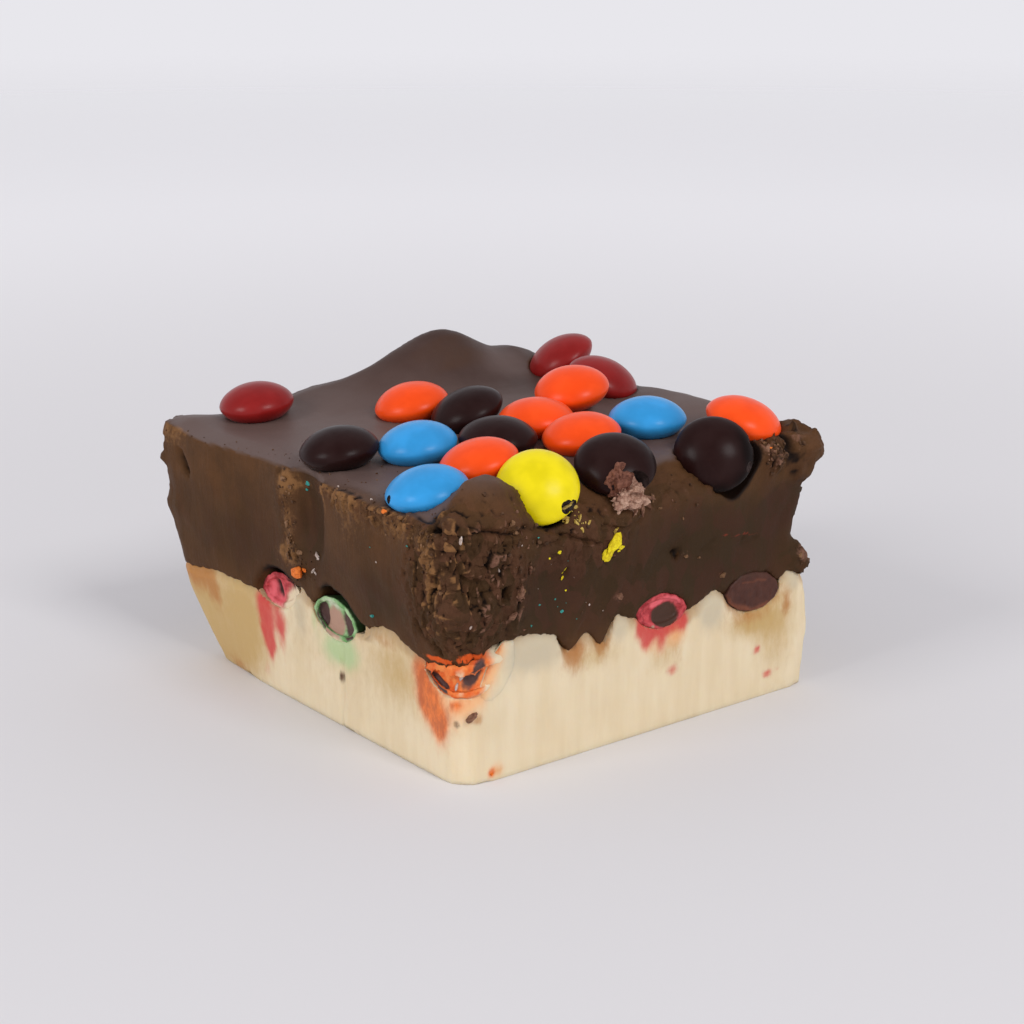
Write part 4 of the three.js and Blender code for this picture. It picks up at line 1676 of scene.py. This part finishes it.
    # Pale crumbs and whitish streaks, partly painted light on lit facets such as the top of the
    # chunk.
    PALE_AND_LIT = (
        *on(
            LEFT, Spot, (28.5, 30, 5, 3, 0.5), (12, 31, 18, 1.2, 0.35), (3.4, 22.8, 1.4, 3.6, 0.6),
            (3.4, 28.4, 1.6, 1.6, 0.6), (4, 19.2, 2.8, 1.6, 0.7), (0.6, 28.4, 2.4, 0.7, 0.5),
            (-4.9, 28, 0.35, 3.2, 0.6), (-9, 29.5, 5, 1.8, 0.55), (-10.5, 26.6, 3, 3, 0.4),
            (-20, 28.4, 5, 2, 0.6), (-26.4, 25, 1.6, 4.5, 0.75), (3, 28.8, 1.2, 1, 0.65),
        ),
        *on(
            FRONT, Spot, (-4.4, 18.1, 0.8, 0.7, 0.6), (6.6, 20.6, 0.7, 0.35, 0.6),
            (12.2, 17.3, 0.5, 0.4, 0.7), (25.2, 17.6, 1.2, 0.9, 0.85), (19.4, 31.4, 1.2, 1, 0.6),
            (23.6, 33, 1.6, 1.6, 0.6), (-19.2, 21.6, 0.5, 1.1, 0.8, -25),
            (-20.2, 19, 1.4, 0.4, 0.6, 30),
        ),
    )
    ORANGE = (
        Spot(LEFT, -25.8, 14.2, 2.6, 0.5, 0.9),
        Spot(FRONT, -24.8, 14.9, 2.0, 0.7, 0.9),
    )
    RED = (
        Crack(FRONT, ((11.4, 22.3), (14.2, 21.9), (17.8, 21.2)), 0.22, 0.6),
        Spot(FRONT, 2.3, 15.4, 3.6, 2.4, 0.4),
        Spot(LEFT, 7.0, 15.4, 3.0, 0.9, 0.5),
        Spot(FRONT, -19.0, 30.5, 4.0, 2.2, 0.3),
    )
    SKIN_ENDS = -25.4
    TALLER = np.array([1.0, 1.0, 1.5])
    FLAKE = np.array([0.85, 0.85, 2.1])
    LUMP = Zone((-20.8, -27.2, 32.2), (5.2, 3.6, 3.0), 0.75)
    SKIN = Zone((-20.8, -25.4, 34.0), (3.8, 2.2, 3.0), 0.7)
    CHUNK = Zone((24.8, -28, 30.6), (5.0, 5, 4.6))
    HEAP = Zone((6.5, 21.5, 36.0), (13.0, 8.0, 8.0))
    SHEEN = Zone((16.4, 17.8, 35.0), (5.0, 3.6, 4.0), 0.8)
    AWAY = np.array([0.617, 0.787, 0.0])
    STREAK = np.array([1.6, 1.6, 7.0])
    DENT_DEPTH = np.array([0.0, 1.6, 0.0])
    EVENING = 40

    def relief_at(self, points: Array) -> Array:
        """Height of the broken surface at each point: scoops, chips, upright flakes and cracks."""
        bent = points + drift(points, 2.4, 61, octaves=2)
        height = -0.7 * Lattice(41).facets(bent / 3.8)
        height += 0.4 * Lattice(42).facets(bent / (1.7 * self.TALLER), steepness=1.4)
        height += 0.45 * Lattice(43).facets(bent / self.FLAKE, 0.5, 1.6)
        height += 0.34 * Lattice(44).facets(points / np.array([0.5, 0.5, 0.65]), 0.6, 1.5)
        lines = bell(Lattice(45).fractal(bent / 3.4, 2), 0.05)
        return height - 0.25 * lines * ramp(Lattice(46).soft(points / 3.0), 0.1, 0.5)

    def shape(self, piece: bpy.types.Object, seam: SeamLine) -> tuple[Surface, Array]:
        """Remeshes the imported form, finest where it is broken.

        Args:
            piece: The copied node.
            seam: The seam line that the cream has.

        Returns:
            The surface, and how high each point is above the seam.
        """
        surface = remeshed(piece, self.voxel, self.smoothing)
        outside = surface.outside()
        rough = strongest(self.ROUGH, surface.points) * outside
        near_seam = bell(seam.above(surface), 1.2) * outside
        refine(piece, np.maximum(rough, near_seam) > 0.3)
        surface = Surface(piece)
        finest = strongest(self.ROUGH[: self.FINEST], surface.points) * surface.outside()
        refine(piece, finest > 0.45)
        surface = Surface(piece)
        return surface, seam.above(surface)

    def shave(self, surface: Surface) -> None:
        """Breaks the top of the front right corner off at RIGHT_EDGE, given as (up, right)."""
        levels, limits = np.array(self.RIGHT_EDGE).T
        x, y, z = surface.points.T
        over = np.maximum(x - np.interp(z, levels, limits), 0) * ramp(z, 25.2, 26.4)
        surface.points[:, 0] -= over * ramp(y, -15, -23)

    def build(self, material: bpy.types.Material, seam: SeamLine) -> bpy.types.Object:
        """Makes the layer.

        Args:
            material: The chocolate's material.
            seam: The seam line that the cream has.

        Returns:
            The finished piece.
        """
        piece = copied_node("chocolate_layer", "chocolate_fudge_layer")
        surface, above = self.shape(piece, seam)
        wander(surface, above)
        carved = self.carve(surface)
        carved.gaps = seat_lentils(surface)
        surface.write()
        self.paint(surface, carved)
        shade_smooth(piece)
        dress(piece, "chocolate_fudge", material)
        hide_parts("chocolate_layer")
        return piece

    def skin(self, surface: Surface) -> Array:
        """How much of the poured skin is left at each point, from 0 to 1."""
        poured = surface.facing(TOP, 0.6, 0.85) * (1 - strongest(self.TORN, surface.points))
        ledge = surface.points[:, 1] + 0.5 * Lattice(49).fractal(surface.points / 1.2)
        poured *= ramp(ledge, self.SKIN_ENDS - 0.4, self.SKIN_ENDS + 0.4)
        scrap = self.SKIN.values(surface.points) * surface.facing(TOP, 0.1, 0.5)
        return np.maximum(poured, scrap)

    def move(self, surface: Surface, poured: Array) -> None:
        """Evens the heap and moves what stands higher, lower or further out than the solid."""
        even = np.stack([surface.blurred(part, self.EVENING) for part in surface.points.T], axis=1)
        share = poured * self.HEAP.values(surface.points)
        surface.points += share[:, None] * (even - surface.points)
        surface.points += np.sum([shove.moves(surface.points) for shove in self.SHOVES], axis=0)
        self.shave(surface)
        surface.write()

    def carve(self, surface: Surface) -> Carving:
        """Sculpts the surface.

        Args:
            surface: The remeshed layer.

        Returns:
            What was done to each point.
        """
        poured = self.skin(surface)
        whole = 1 - self.LUMP.values(surface.points)
        rough = strongest(self.ROUGH, surface.points) * (1 - poured) * whole
        upright = surface.upright()
        self.move(surface, poured)

        relief = rough * self.relief_at(surface.points)
        facets = Lattice(57).facets(surface.points / 3.4, 0.12, 1.5)
        chunk = self.CHUNK.values(surface.points) * (1 - poured)
        relief += 0.5 * chunk * (facets - np.average(facets, weights=chunk) - 0.4)
        streaks = Lattice(47).fractal(surface.points / self.STREAK)
        waves = Lattice(48).fractal(surface.points / 4.0, 4)
        hollows = total_of(self.HOLLOWS, surface, 0.35 * drift(surface.points, 0.9, 54))
        dents = strongest(self.DENTS, surface.points)
        surface.points += dents[:, None] * self.DENT_DEPTH
        knife = upright * (0.04 * streaks + 0.1 * waves)
        surface.push(relief + knife + 0.06 * poured * waves - hollows)
        surface.write()
        return Carving(poured, rough, relief, hollows, dents)

    def paint(self, surface: Surface, carved: Carving) -> None:
        """Stores the masks that the finish reads.

        Args:
            surface: The sculpted layer.
            carved: What was done to each point.
        """
        relief, rough = carved.relief, carved.rough
        crevice = surface.blurred(relief, 10) - relief
        bay = surface.blurred(relief, 60) - relief
        surface.paint("poured", carved.poured * (1 - rough))
        surface.paint("broken", rough)
        # Painted sheen: lighter toward the front, where the skin is seen at a grazing angle, and to
        # the right of the heap.
        dusty = ramp(surface.points @ self.AWAY, 24, 3)
        surface.paint("dusty", dusty + self.SHEEN.values(surface.points))
        warp = 0.6 * drift(surface.points, 1.6, 51)
        surface.paint("shade", total_of(self.SHADE, surface, 2 * warp))
        # tips: painted light, paler on the peaks of the broken relief.
        tips = 0.6 * ramp(-bay, 0.05, 0.3) + 0.3 * ramp(-crevice, 0.03, 0.14)
        surface.paint("pale", total_of(self.PALE_AND_LIT, surface, warp) + tips * rough)
        surface.paint("flaky", ramp(surface.points[:, 0], -26.8, -24.5))
        surface.paint("orange", total_of(self.ORANGE, surface, warp))
        surface.paint("red", total_of(self.RED, surface, warp))
        # The deep mask is painted shade: pits and cracks, crevices and bays of the broken relief,
        # the gaps beside the lentils and the dents.
        dark = ramp(carved.hollows, 0.35, 0.9) + 0.6 * ramp(crevice, 0.04, 0.2)
        dark += 0.5 * ramp(bay, 0.1, 0.4)
        surface.paint("deep", dark + carved.gaps + 1.2 * carved.dents)


# ------------------------------------------------------------------ crumbs and chips


class Ground:
    """The surfaces that crumbs can lie on, in millimetres."""

    def __init__(self, layers: list[bpy.types.Object], lentils: list[bpy.types.Object]) -> None:
        """Takes the two layers and the lentils as they are now."""
        points: list[Vector] = []
        faces: list[list[int]] = []
        for piece in layers + lentils:
            start = len(points)
            points += [vertex.co / MM for vertex in piece.data.vertices]
            faces += [[start + index for index in face.vertices] for face in piece.data.polygons]
        self.layer_faces = sum(len(piece.data.polygons) for piece in layers)
        self.tree = BVHTree.FromPolygons(points, faces)

    def under(
        self, start: Vector, way: Vector, strewn: bool
    ) -> tuple[Vector | None, Vector | None]:
        """Where a crumb lands.

        Args:
            start: Where it is dropped from.
            way: Which way it goes.
            strewn: Whether it may land only on the layers.

        Returns:
            The place and the normal there, or None twice where it lands on nothing.
        """
        place, normal, index, _ = self.tree.ray_cast(start, way)
        if place is None or (strewn and index >= self.layer_faces):
            return None, None
        return place, normal


@dataclass(frozen=True)
class Fleck:
    """One crumb set at a known place on an upright face.

    Attributes:
        face: The face that it lies on.
        along: Its place along the face.
        up: Its height above the table.
        size: Its longest measure in millimetres.
        long: Its width against its length.
        turn: Degrees that its length is turned from level toward up.
        strewn: Whether it is left out where it would land on a lentil.
    """

    face: Face
    along: float
    up: float
    size: float
    long: float = 0.7
    turn: float = 0.0
    strewn: bool = False


@dataclass(frozen=True)
class Strewn:
    """Crumbs strewn at random round a place on a face, most of them near its middle."""

    face: Face
    along: float
    up: float
    wide: float
    high: float
    count: int
    small: float = 0.2
    large: float = 0.5

    def flecks(self, chance: np.random.Generator) -> list[Fleck]:
        """The crumbs, each at its own drawn place, size and turn."""
        places = chance.normal(0, 0.5, (self.count, 2)) * (self.wide, self.high)
        sizes = self.small + (self.large - self.small) * chance.random(self.count) ** 2
        shapes = chance.uniform((0.5, 0.0), (1.0, 180.0), (self.count, 2))
        return [
            Fleck(self.face, self.along + side, self.up + rise, size, *shape, strewn=True)
            for (side, rise), size, shape in zip(places, sizes, shapes)
        ]


class ChipForms:
    """A few angular chips, modelled once, that every crumb is a resized copy of."""

    COUNT = 8
    SIDES = 9

    def __init__(self) -> None:
        """Models the chips."""
        self.forms = [self._chip(number) for number in range(self.COUNT)]

    def _chip(self, number: int) -> tuple[Array, Array]:
        """The points and triangles of one chip, about one millimetre across."""
        bpy.ops.mesh.primitive_ico_sphere_add(subdivisions=3, radius=MM)
        piece = newest("chip")
        surface = Surface(piece)
        chance = np.random.default_rng(500 + number)
        sides = chance.normal(size=(self.SIDES, 3))
        sides /= np.linalg.norm(sides, axis=1)[:, None]
        levels = chance.uniform(0.26, 0.5, self.SIDES)
        reach = (levels / np.clip(surface.points @ sides.T, 0.3, 1)).min(axis=1)
        surface.points *= np.minimum(reach, 0.62)[:, None]
        surface.write()
        surface.push(0.09 * Lattice(510 + number).facets(surface.points / 0.18))
        triangles = np.array([list(face.vertices) for face in piece.data.polygons])
        bpy.data.objects.remove(piece)
        return surface.points, triangles


@dataclass
class CrumbKind:
    """All the crumbs of one colour, joined in one piece.

    Attributes:
        name: The piece's name.
        finish: Its finish.
        slot: The record's material slot that it belongs to.
        flat: Thickness of each crumb against its length.
        sunk: How deep each crumb sits, in shares of its thickness.
        flecks: Crumbs at known places.
        strewn: Groups of crumbs at random places.
    """

    name: str
    finish: GrainFinish
    slot: str
    flat: float = 0.6
    sunk: float = 0.25
    flecks: tuple[Fleck, ...] = ()
    strewn: tuple[Strewn, ...] = ()

    START = 60.0

    def build(self, seed: int, forms: ChipForms, ground: Ground) -> None:
        """Sets every crumb down on the ground below it.

        Args:
            seed: Picks the random places and turns.
            forms: The chips to copy.
            ground: What the crumbs lie on.
        """
        chance = np.random.default_rng(seed)
        flecks = list(self.flecks)
        for group in self.strewn:
            flecks += group.flecks(chance)
        points: list[Array] = []
        triangles: list[Array] = []
        count = 0
        for fleck in flecks:
            form, faces = forms.forms[chance.integers(len(forms.forms))]
            placed = self._set_down(fleck, form, chance, ground)
            if placed is not None:
                points.append(placed)
                triangles.append(faces + count)
                count += len(placed)
        mesh = bpy.data.meshes.new(self.name)
        places = (np.concatenate(points) * MM).tolist()
        mesh.from_pydata(places, [], np.concatenate(triangles).tolist())
        piece = added(self.name, mesh)
        dress(piece, self.slot, self.finish.material())

    def _set_down(
        self, fleck: Fleck, form: Array, chance: np.random.Generator, ground: Ground
    ) -> Array | None:
        """The points of one crumb where it lies, or None if there is nothing below it."""
        face = fleck.face
        start = face.out * self.START
        start[face.along_axis] = fleck.along
        start[2] = fleck.up
        hit, normal = ground.under(start, -face.out, fleck.strewn)
        if hit is None:
            return None
        out = (0.5 * normal + 0.5 * face.out).normalized()
        across = Vector((0, 0, 1)).cross(out).normalized()
        base = Matrix((across, out.cross(across), out)).transposed()
        turn = np.array(base @ Matrix.Rotation(math.radians(fleck.turn), 3, "Z"))
        spin = np.array(Quaternion(chance.normal(size=4)).normalized().to_matrix())
        size = fleck.size * np.array([1.0, fleck.long, self.flat])
        shaped = (form @ spin.T) * size
        lift = (0.5 - self.sunk) * fleck.size * self.flat
        return shaped @ turn.T + np.array(hit + out * lift)


CRUMB_KINDS = (
    CrumbKind(
        "chocolate_crumbs",
        GrainFinish("chocolate_crumb", srgb(60, 40, 26), srgb(98, 68, 46), 0.65),
        "chocolate_fudge", flat=0.7, sunk=0.3,
        strewn=(
            *on(
                LEFT, Strewn, (-26, 26, 3, 8, 34, 0.2, 0.5), (-20, 29.2, 8, 1.8, 40, 0.2, 0.5),
                (-9, 30, 7, 0.9, 22, 0.15, 0.4), (8, 30.6, 26, 0.6, 40, 0.12, 0.3),
                (3.2, 24, 1.2, 9, 30, 0.2, 0.5), (1.4, 18.6, 3, 2.6, 20, 0.2, 0.5),
            ),
            *on(
                FRONT, Strewn, (-20, 27, 9, 8, 44, 0.2, 0.6), (-3, 28.6, 14, 3.6, 40, 0.15, 0.5),
                (21, 31.6, 5, 2.6, 22, 0.2, 0.6), (25.2, 19, 1.2, 2.4, 8, 0.2, 0.5),
                (20, 31.2, 1.4, 1.4, 16, 0.4, 1.1),
            ),
        ),
    ),
    CrumbKind(
        "filling_crumbs",
        GrainFinish("filling_crumb", srgb(96, 62, 46), srgb(140, 102, 80), 0.6),
        "shell_brown", flat=0.6, sunk=0.35,
        flecks=on(
            FRONT, Fleck, (0.9, 28.6, 1, 0.4, 80), (18.8, 31.8, 1, 0.6, 80),
            (-0.2, 28.9, 1.7, 0.3, -20), (-0.6, 28.2, 1.6, 0.3, -50), (-1.4, 27.9, 1.6, 0.3, -85),
            (-2.4, 28, 1.5, 0.3, -115), (0, 29.7, 1.5, 0.3, 15), (-3.2, 28.6, 1.4, 0.3, -145),
            (-2.6, 31.9, 1.5, 0.35, 100), (-3.6, 31.4, 1.3, 0.35, 130), (19.6, 30.2, 0.9, 0.5, 80),
            (19.4, 31.2, 1, 0.5, 120), (-18.8, 28.2, 0.5, 0.5, 60), (-19.2, 21.9, 1.5, 0.45, 65),
            (-19.5, 21.2, 0.9, 0.6, 90), (-17.6, 23.9, 1.2, 0.3, 100), (-20.4, 19.2, 1.2, 0.4, 40),
            (-4.4, 18.1, 1, 0.7, 100), (-25.1, 8.1, 1.6, 0.4, 40),
        ),
        strewn=on(
            FRONT, Strewn, (-20, 24, 5, 9, 10, 0.2, 0.6), (1, 28.6, 3, 2, 5, 0.2, 0.5),
            (19.4, 31, 1.6, 1.6, 14, 0.25, 0.7),
        ),
    ),
    CrumbKind(
        "tan_crumbs",
        GrainFinish("tan_crumb", srgb(98, 68, 44), srgb(140, 104, 74), 0.6),
        "chocolate_fudge", flat=0.6,
        flecks=(
            *on(
                LEFT, Fleck, (3.3, 29, 0.9), (2.6, 28, 0.7), (-8, 29.9, 0.8),
                (3.5, 23.3, 1, 0.6, 80), (2.9, 21.4, 1.1, 0.6, 70), (3.7, 19.3, 0.9, 0.6, 100),
                (1.3, 20.2, 0.8), (-28.1, 23, 0.6),
            ),
            *on(
                FRONT, Fleck, (-19.2, 21.7, 1.1, 0.5, 40), (-4.4, 18.1, 0.8),
                (12.2, 17.2, 0.9, 0.6, 30), (6.3, 20.6, 0.6), (8.3, 20.1, 0.5), (18.8, 32.2, 0.8),
                (19.4, 31.3, 0.9, 0.5, 70), (24.3, 17.6, 0.9), (25.9, 19, 0.7),
                (0.8, 28.6, 0.9, 0.4, 80), (1.6, 27.4, 0.5), (-8.2, 30.9, 0.9, 0.4, 75),
                (-20.6, 29.9, 0.9, 0.5, 60), (-20, 28.7, 0.7),
            ),
        ),
        strewn=(
            *on(
                LEFT, Strewn, (-21, 28.8, 5, 1.6, 22, 0.12, 0.4),
                (-26.4, 26.4, 2, 3, 16, 0.12, 0.4), (3, 22.5, 0.9, 6, 14, 0.12, 0.35),
                (5, 30.6, 22, 0.6, 10, 0.1, 0.22),
            ),
            *on(
                FRONT, Strewn, (-22, 27, 6, 6, 10, 0.12, 0.4), (-3, 28.6, 14, 3, 8, 0.1, 0.3),
                (20, 31.8, 3, 1.2, 8, 0.15, 0.5),
            ),
        ),
    ),
    CrumbKind(
        "pale_flecks",
        GrainFinish("pale_fleck", srgb(170, 148, 136), srgb(216, 200, 190), 0.5),
        "chocolate_fudge", flat=0.5,
        flecks=(
            *on(
                LEFT, Fleck, (-1.7, 20.5, 1, 0.35, 150), (-2, 20.1, 0.5, 0.5, 20),
                (-1.1, 18.5, 0.8, 0.3, 50), (-1.6, 18.3, 0.5, 0.4, 130), (-14.3, 30.2, 0.4),
                (-7.1, 30.1, 0.3), (-16.1, 23.5, 0.25),
            ),
            *on(
                FRONT, Fleck, (-27.2, 29, 0.9, 0.3, 80), (-22.2, 24.8, 0.5, 0.35, 120),
                (-25.9, 19.1, 0.5, 0.5, 80), (-8.8, 17.9, 0.35), (-19, 27, 0.25),
                (-25.4, 12.6, 0.9, 0.4, 80), (-25.8, 11.4, 0.8, 0.4, 70),
            ),
        ),
        strewn=(
            Strewn(FRONT, -14.0, 22.0, 14.0, 9.0, 6, 0.08, 0.16),
        ),
    ),
    CrumbKind(
        "yellow_chips",
        GrainFinish("yellow_chip", srgb(206, 180, 16), srgb(246, 226, 30), 0.45),
        "shell_yellow", flat=0.28,
        flecks=on(
            FRONT, Fleck, (-5.9, 24.6, 2.9, 0.45, 62), (-6.6, 23.6, 1.6, 0.7, 62),
            (-4.3, 23.9, 0.7), (-4.6, 23.5, 0.4), (-13.5, 25.1, 0.5), (-12.3, 21.6, 0.5, 0.5, 40),
            (-11.9, 22.7, 0.6, 0.4, 60), (-12.2, 22.2, 0.4), (-14.6, 24.5, 0.3), (-11.8, 20.1, 0.3),
        ),
    ),
    CrumbKind(
        "gold_flecks",
        GrainFinish("gold_fleck", srgb(150, 118, 40), srgb(206, 178, 96), 0.5),
        "shell_yellow", flat=0.4,
        flecks=on(
            FRONT, Fleck, (-5.2, 26.2, 1.1, 0.3, 15), (-5.6, 25.8, 0.8, 0.35, 80),
            (-11.8, 29.9, 1.1, 0.35, 20), (-10.8, 29, 1.1, 0.35, 100), (-10.2, 28.4, 1, 0.35, 70),
            (-11.8, 28.2, 1, 0.4, 60), (-11, 28, 0.9, 0.4, 120), (-9.8, 29.2, 0.6),
            (-12.4, 28.8, 0.8, 0.4, 50), (-11.2, 30.2, 0.6, 0.5, 30), (-10.6, 27.2, 0.8, 0.4, 95),
            (-9.4, 27.8, 0.7, 0.4, 60),
        ),
        strewn=(Strewn(FRONT, -10.6, 28.4, 1.6, 1.4, 10, 0.15, 0.4),),
    ),
    CrumbKind(
        "teal_flecks",
        GrainFinish("teal_fleck", srgb(34, 124, 116), srgb(72, 168, 158), 0.5),
        "shell_blue", flat=0.4,
        flecks=(
            Fleck(LEFT, 0.5, 28.7, 0.8), Fleck(LEFT, 0.9, 27.9, 0.4), Fleck(LEFT, -13.9, 16.4, 0.7),
            Fleck(FRONT, -12.7, 17.9, 0.45), Fleck(LEFT, -22.5, 27.0, 0.3),
            Fleck(LEFT, -15.0, 25.0, 0.2), Fleck(FRONT, -15.6, 19.2, 0.3),
            Fleck(FRONT, -16.2, 27.2, 0.25),
        ),
        strewn=(Strewn(FRONT, -14.0, 19.0, 8.0, 5.0, 6, 0.1, 0.25),),
    ),
    CrumbKind(
        "orange_bits",
        GrainFinish("orange_bit", srgb(200, 96, 32), srgb(244, 130, 48), 0.5),
        "shell_orange", flat=0.5,
        flecks=(
            *on(
                LEFT, Fleck, (1.5, 17.6, 2.2, 0.65, 10), (2.4, 17.2, 0.9), (0.6, 18.2, 0.7),
                (-18.2, 29.9, 0.7),
            ),
            *on(FRONT, Fleck, (19.1, 31.8, 0.5), (-22.6, 0.9, 0.5)),
        ),
    ),
)


def build_crumbs(ground: Ground) -> None:
    """Makes one piece for each kind of crumb that clings to the ground."""
    forms = ChipForms()
    for seed, kind in enumerate(CRUMB_KINDS, CRUMB_SEEDS):
        kind.build(seed, forms, ground)


@dataclass(frozen=True)
class Crumble:
    """A ragged lump of broken filling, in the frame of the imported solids.

    Attributes:
        name: The piece's name.
        centre: Its middle.
        reach: Half its size along each axis.
        filling: What it is made of.
        ragged: Height of its crags in millimetres.
        turn: Degrees that it is turned about Y.
        slot: The record's material slot that it belongs to.
    """

    name: str
    centre: Point
    reach: Point
    filling: str
    ragged: float = 0.5
    turn: float = 0.0
    slot: str = "shell_brown"

    def build(self, seed: int, palette: Palette) -> None:
        """Makes the lump.

        Args:
            seed: Which crags to use.
            palette: Where its material comes from.
        """
        bpy.ops.mesh.primitive_ico_sphere_add(subdivisions=5, radius=MM)
        piece = newest(self.name)
        surface = Surface(piece)
        surface.points *= np.array(self.reach)
        surface.write()
        crags = 0.7 * Lattice(810 + seed).facets(surface.points / 0.4, steepness=1.5)
        crags -= Lattice(800 + seed).facets(surface.points / 0.9, steepness=1.6)
        surface.push(self.ragged * crags)
        turn = np.array(Matrix.Rotation(math.radians(self.turn), 3, "Y"))
        surface.points = surface.points @ turn.T + np.array(self.centre)
        surface.write()
        self.paint(surface)
        shade_smooth(piece, 50)
        dress(piece, self.slot, palette.fillings[self.filling])

    def paint(self, surface: Surface) -> None:
        """Stores the masks that the material reads, of which most fillings have none."""


@dataclass(frozen=True)
class CreamSmear(Crumble):
    """A smear of the pale layer over the edge of a lentil, stained as the layer is."""

    slot: str = "cream_fudge"

    def paint(self, surface: Surface) -> None:
        """Stores the layer's stains."""
        CreamLayer.stain(surface)


CRUMBLES = (
    Crumble("brown_crumble", (-4.4, -29.1, 31.4), (1.6, 0.8, 2.0), "rust", 0.5),
    Crumble("tan_crumble", (-3.0, -29.5, 29.5), (2.6, 1.0, 1.9), "nougat", 0.8),
    CreamSmear("cream_smear", (-21.2, -28.66, 12.3), (2.0, 0.72, 4.3), "cream", 0.03, 28.0),
)


# ------------------------------------------------------------------ light, floor and camera


@dataclass
class Studio:
    """A white sweep, two softboxes and the camera; the floor and softboxes are in metres."""

    camera_place: Point = (-146.311, -190.464, 90.0)
    azimuth: float = -38.13
    elevation: float = 16.13
    lens: float = 69.57
    sensor: float = 36.0
    floor_radius: float = 2.4
    softbox_size: float = 0.5
    softbox_away: float = 1.6
    sky_above: Colour = srgb(196, 195, 200)
    sky_level: Colour = srgb(232, 231, 236)
    floor_near: Colour = srgb(226, 224, 225)
    lit_floor_far: Colour = srgb(255, 254, 255)

    def place_camera(self) -> None:
        """Adds the camera and makes it the scene's."""
        data = bpy.data.cameras.new("camera")
        data.lens = self.lens
        data.sensor_width = self.sensor
        data.clip_start = 0.01
        camera = added("camera", data)
        camera.location = Vector(self.camera_place) * MM
        camera.rotation_mode = "QUATERNION"
        camera.rotation_quaternion = compass(self.azimuth, self.elevation).to_track_quat("Z", "Y")
        bpy.context.scene.camera = camera

    def softbox(self, name: str, azimuth: float, elevation: float, power: float) -> None:
        """Adds a square soft light that faces the square.

        Args:
            name: The light's name.
            azimuth: Where it stands round the square, 0 in front and -90 at the left.
            elevation: How high it stands, in degrees.
            power: Watts.
        """
        data = bpy.data.lights.new(name, "AREA")
        data.energy, data.size = power, self.softbox_size
        light = added(name, data)
        way = compass(azimuth, elevation)
        light.location = way * self.softbox_away
        light.rotation_mode = "QUATERNION"
        light.rotation_quaternion = way.to_track_quat("Z", "Y")

    def lay_floor(self) -> None:
        """Adds a wide floor that fades into the backdrop."""
        bpy.ops.mesh.primitive_circle_add(
            vertices=128, radius=self.floor_radius, fill_type="NGON"
        )
        floor = newest("studio_floor")
        tree = MaterialTree("studio_floor")
        node = tree.node("ShaderNodeVectorMath", {"operation": "LENGTH"}, {0: tree.place()})
        away = Wire(tree, node.outputs["Value"])
        # Painted light: the floor's colour grows lighter with distance from the square, toward the
        # bright backdrop.
        colour = tree.blend(away.between(60.0, 500.0), self.floor_near, self.lit_floor_far)
        cloud = tree.noise(90.0, detail=2)
        floor.data.materials.append(
            tree.finish(
                Base_Color=colour, Roughness=0.75 + 0.05 * cloud, Specular_IOR_Level=0.2,
                Alpha=away.between(1500.0, 100.0),
            )
        )

    def light_sky(self) -> None:
        """Lights the whole scene softly, brightest round the level."""
        world = bpy.data.worlds.new("studio_sky")
        world.use_nodes = True
        nodes, links = world.node_tree.nodes, world.node_tree.links
        way = nodes.new("ShaderNodeTexCoord")
        split = nodes.new("ShaderNodeSeparateXYZ")
        fade = nodes.new("ShaderNodeMapRange")
        mix = nodes.new("ShaderNodeMix")
        fade.interpolation_type = "SMOOTHSTEP"
        fade.inputs["From Min"].default_value = 0.05
        fade.inputs["From Max"].default_value = 0.6
        mix.data_type = "RGBA"
        mix.inputs[6].default_value = (*self.sky_level, 1.0)
        mix.inputs[7].default_value = (*self.sky_above, 1.0)
        links.new(way.outputs["Generated"], split.inputs[0])
        links.new(split.outputs["Z"], fade.inputs["Value"])
        links.new(fade.outputs[0], mix.inputs[0])
        links.new(mix.outputs[2], nodes["Background"].inputs["Color"])
        bpy.context.scene.world = world
        bpy.context.scene.view_settings.view_transform = "Standard"

    def build(self) -> None:
        """Sets up the floor, the lights and the camera."""
        self.place_camera()
        self.lay_floor()
        self.light_sky()
        self.softbox("softbox_left", -92, 30, 6.9)
        self.softbox("softbox_right", 2, 40, 8.5)


# ------------------------------------------------------------------ assembly


def main() -> None:
    """Builds the studio and every piece of the square, in order."""
    logging.basicConfig(level=logging.INFO, format="%(name)s %(message)s")
    Studio().build()
    cream, seam = CreamLayer().build(CreamFinish().material())
    chocolate = ChocolateLayer().build(ChocolateFinish().material(), seam)
    palette = Palette(cream.data.materials[0])
    lentils = [lentil.build(seed, palette) for seed, lentil in enumerate(LENTILS)]
    lentils += [lentil.build(seed, palette) for seed, lentil in enumerate(CUT_LENTILS, CUT_SEEDS)]
    for seed, crumble in enumerate(CRUMBLES):
        crumble.build(seed, palette)
    build_crumbs(Ground([cream, chocolate], lentils))


if __name__ == "__main__":
    main()
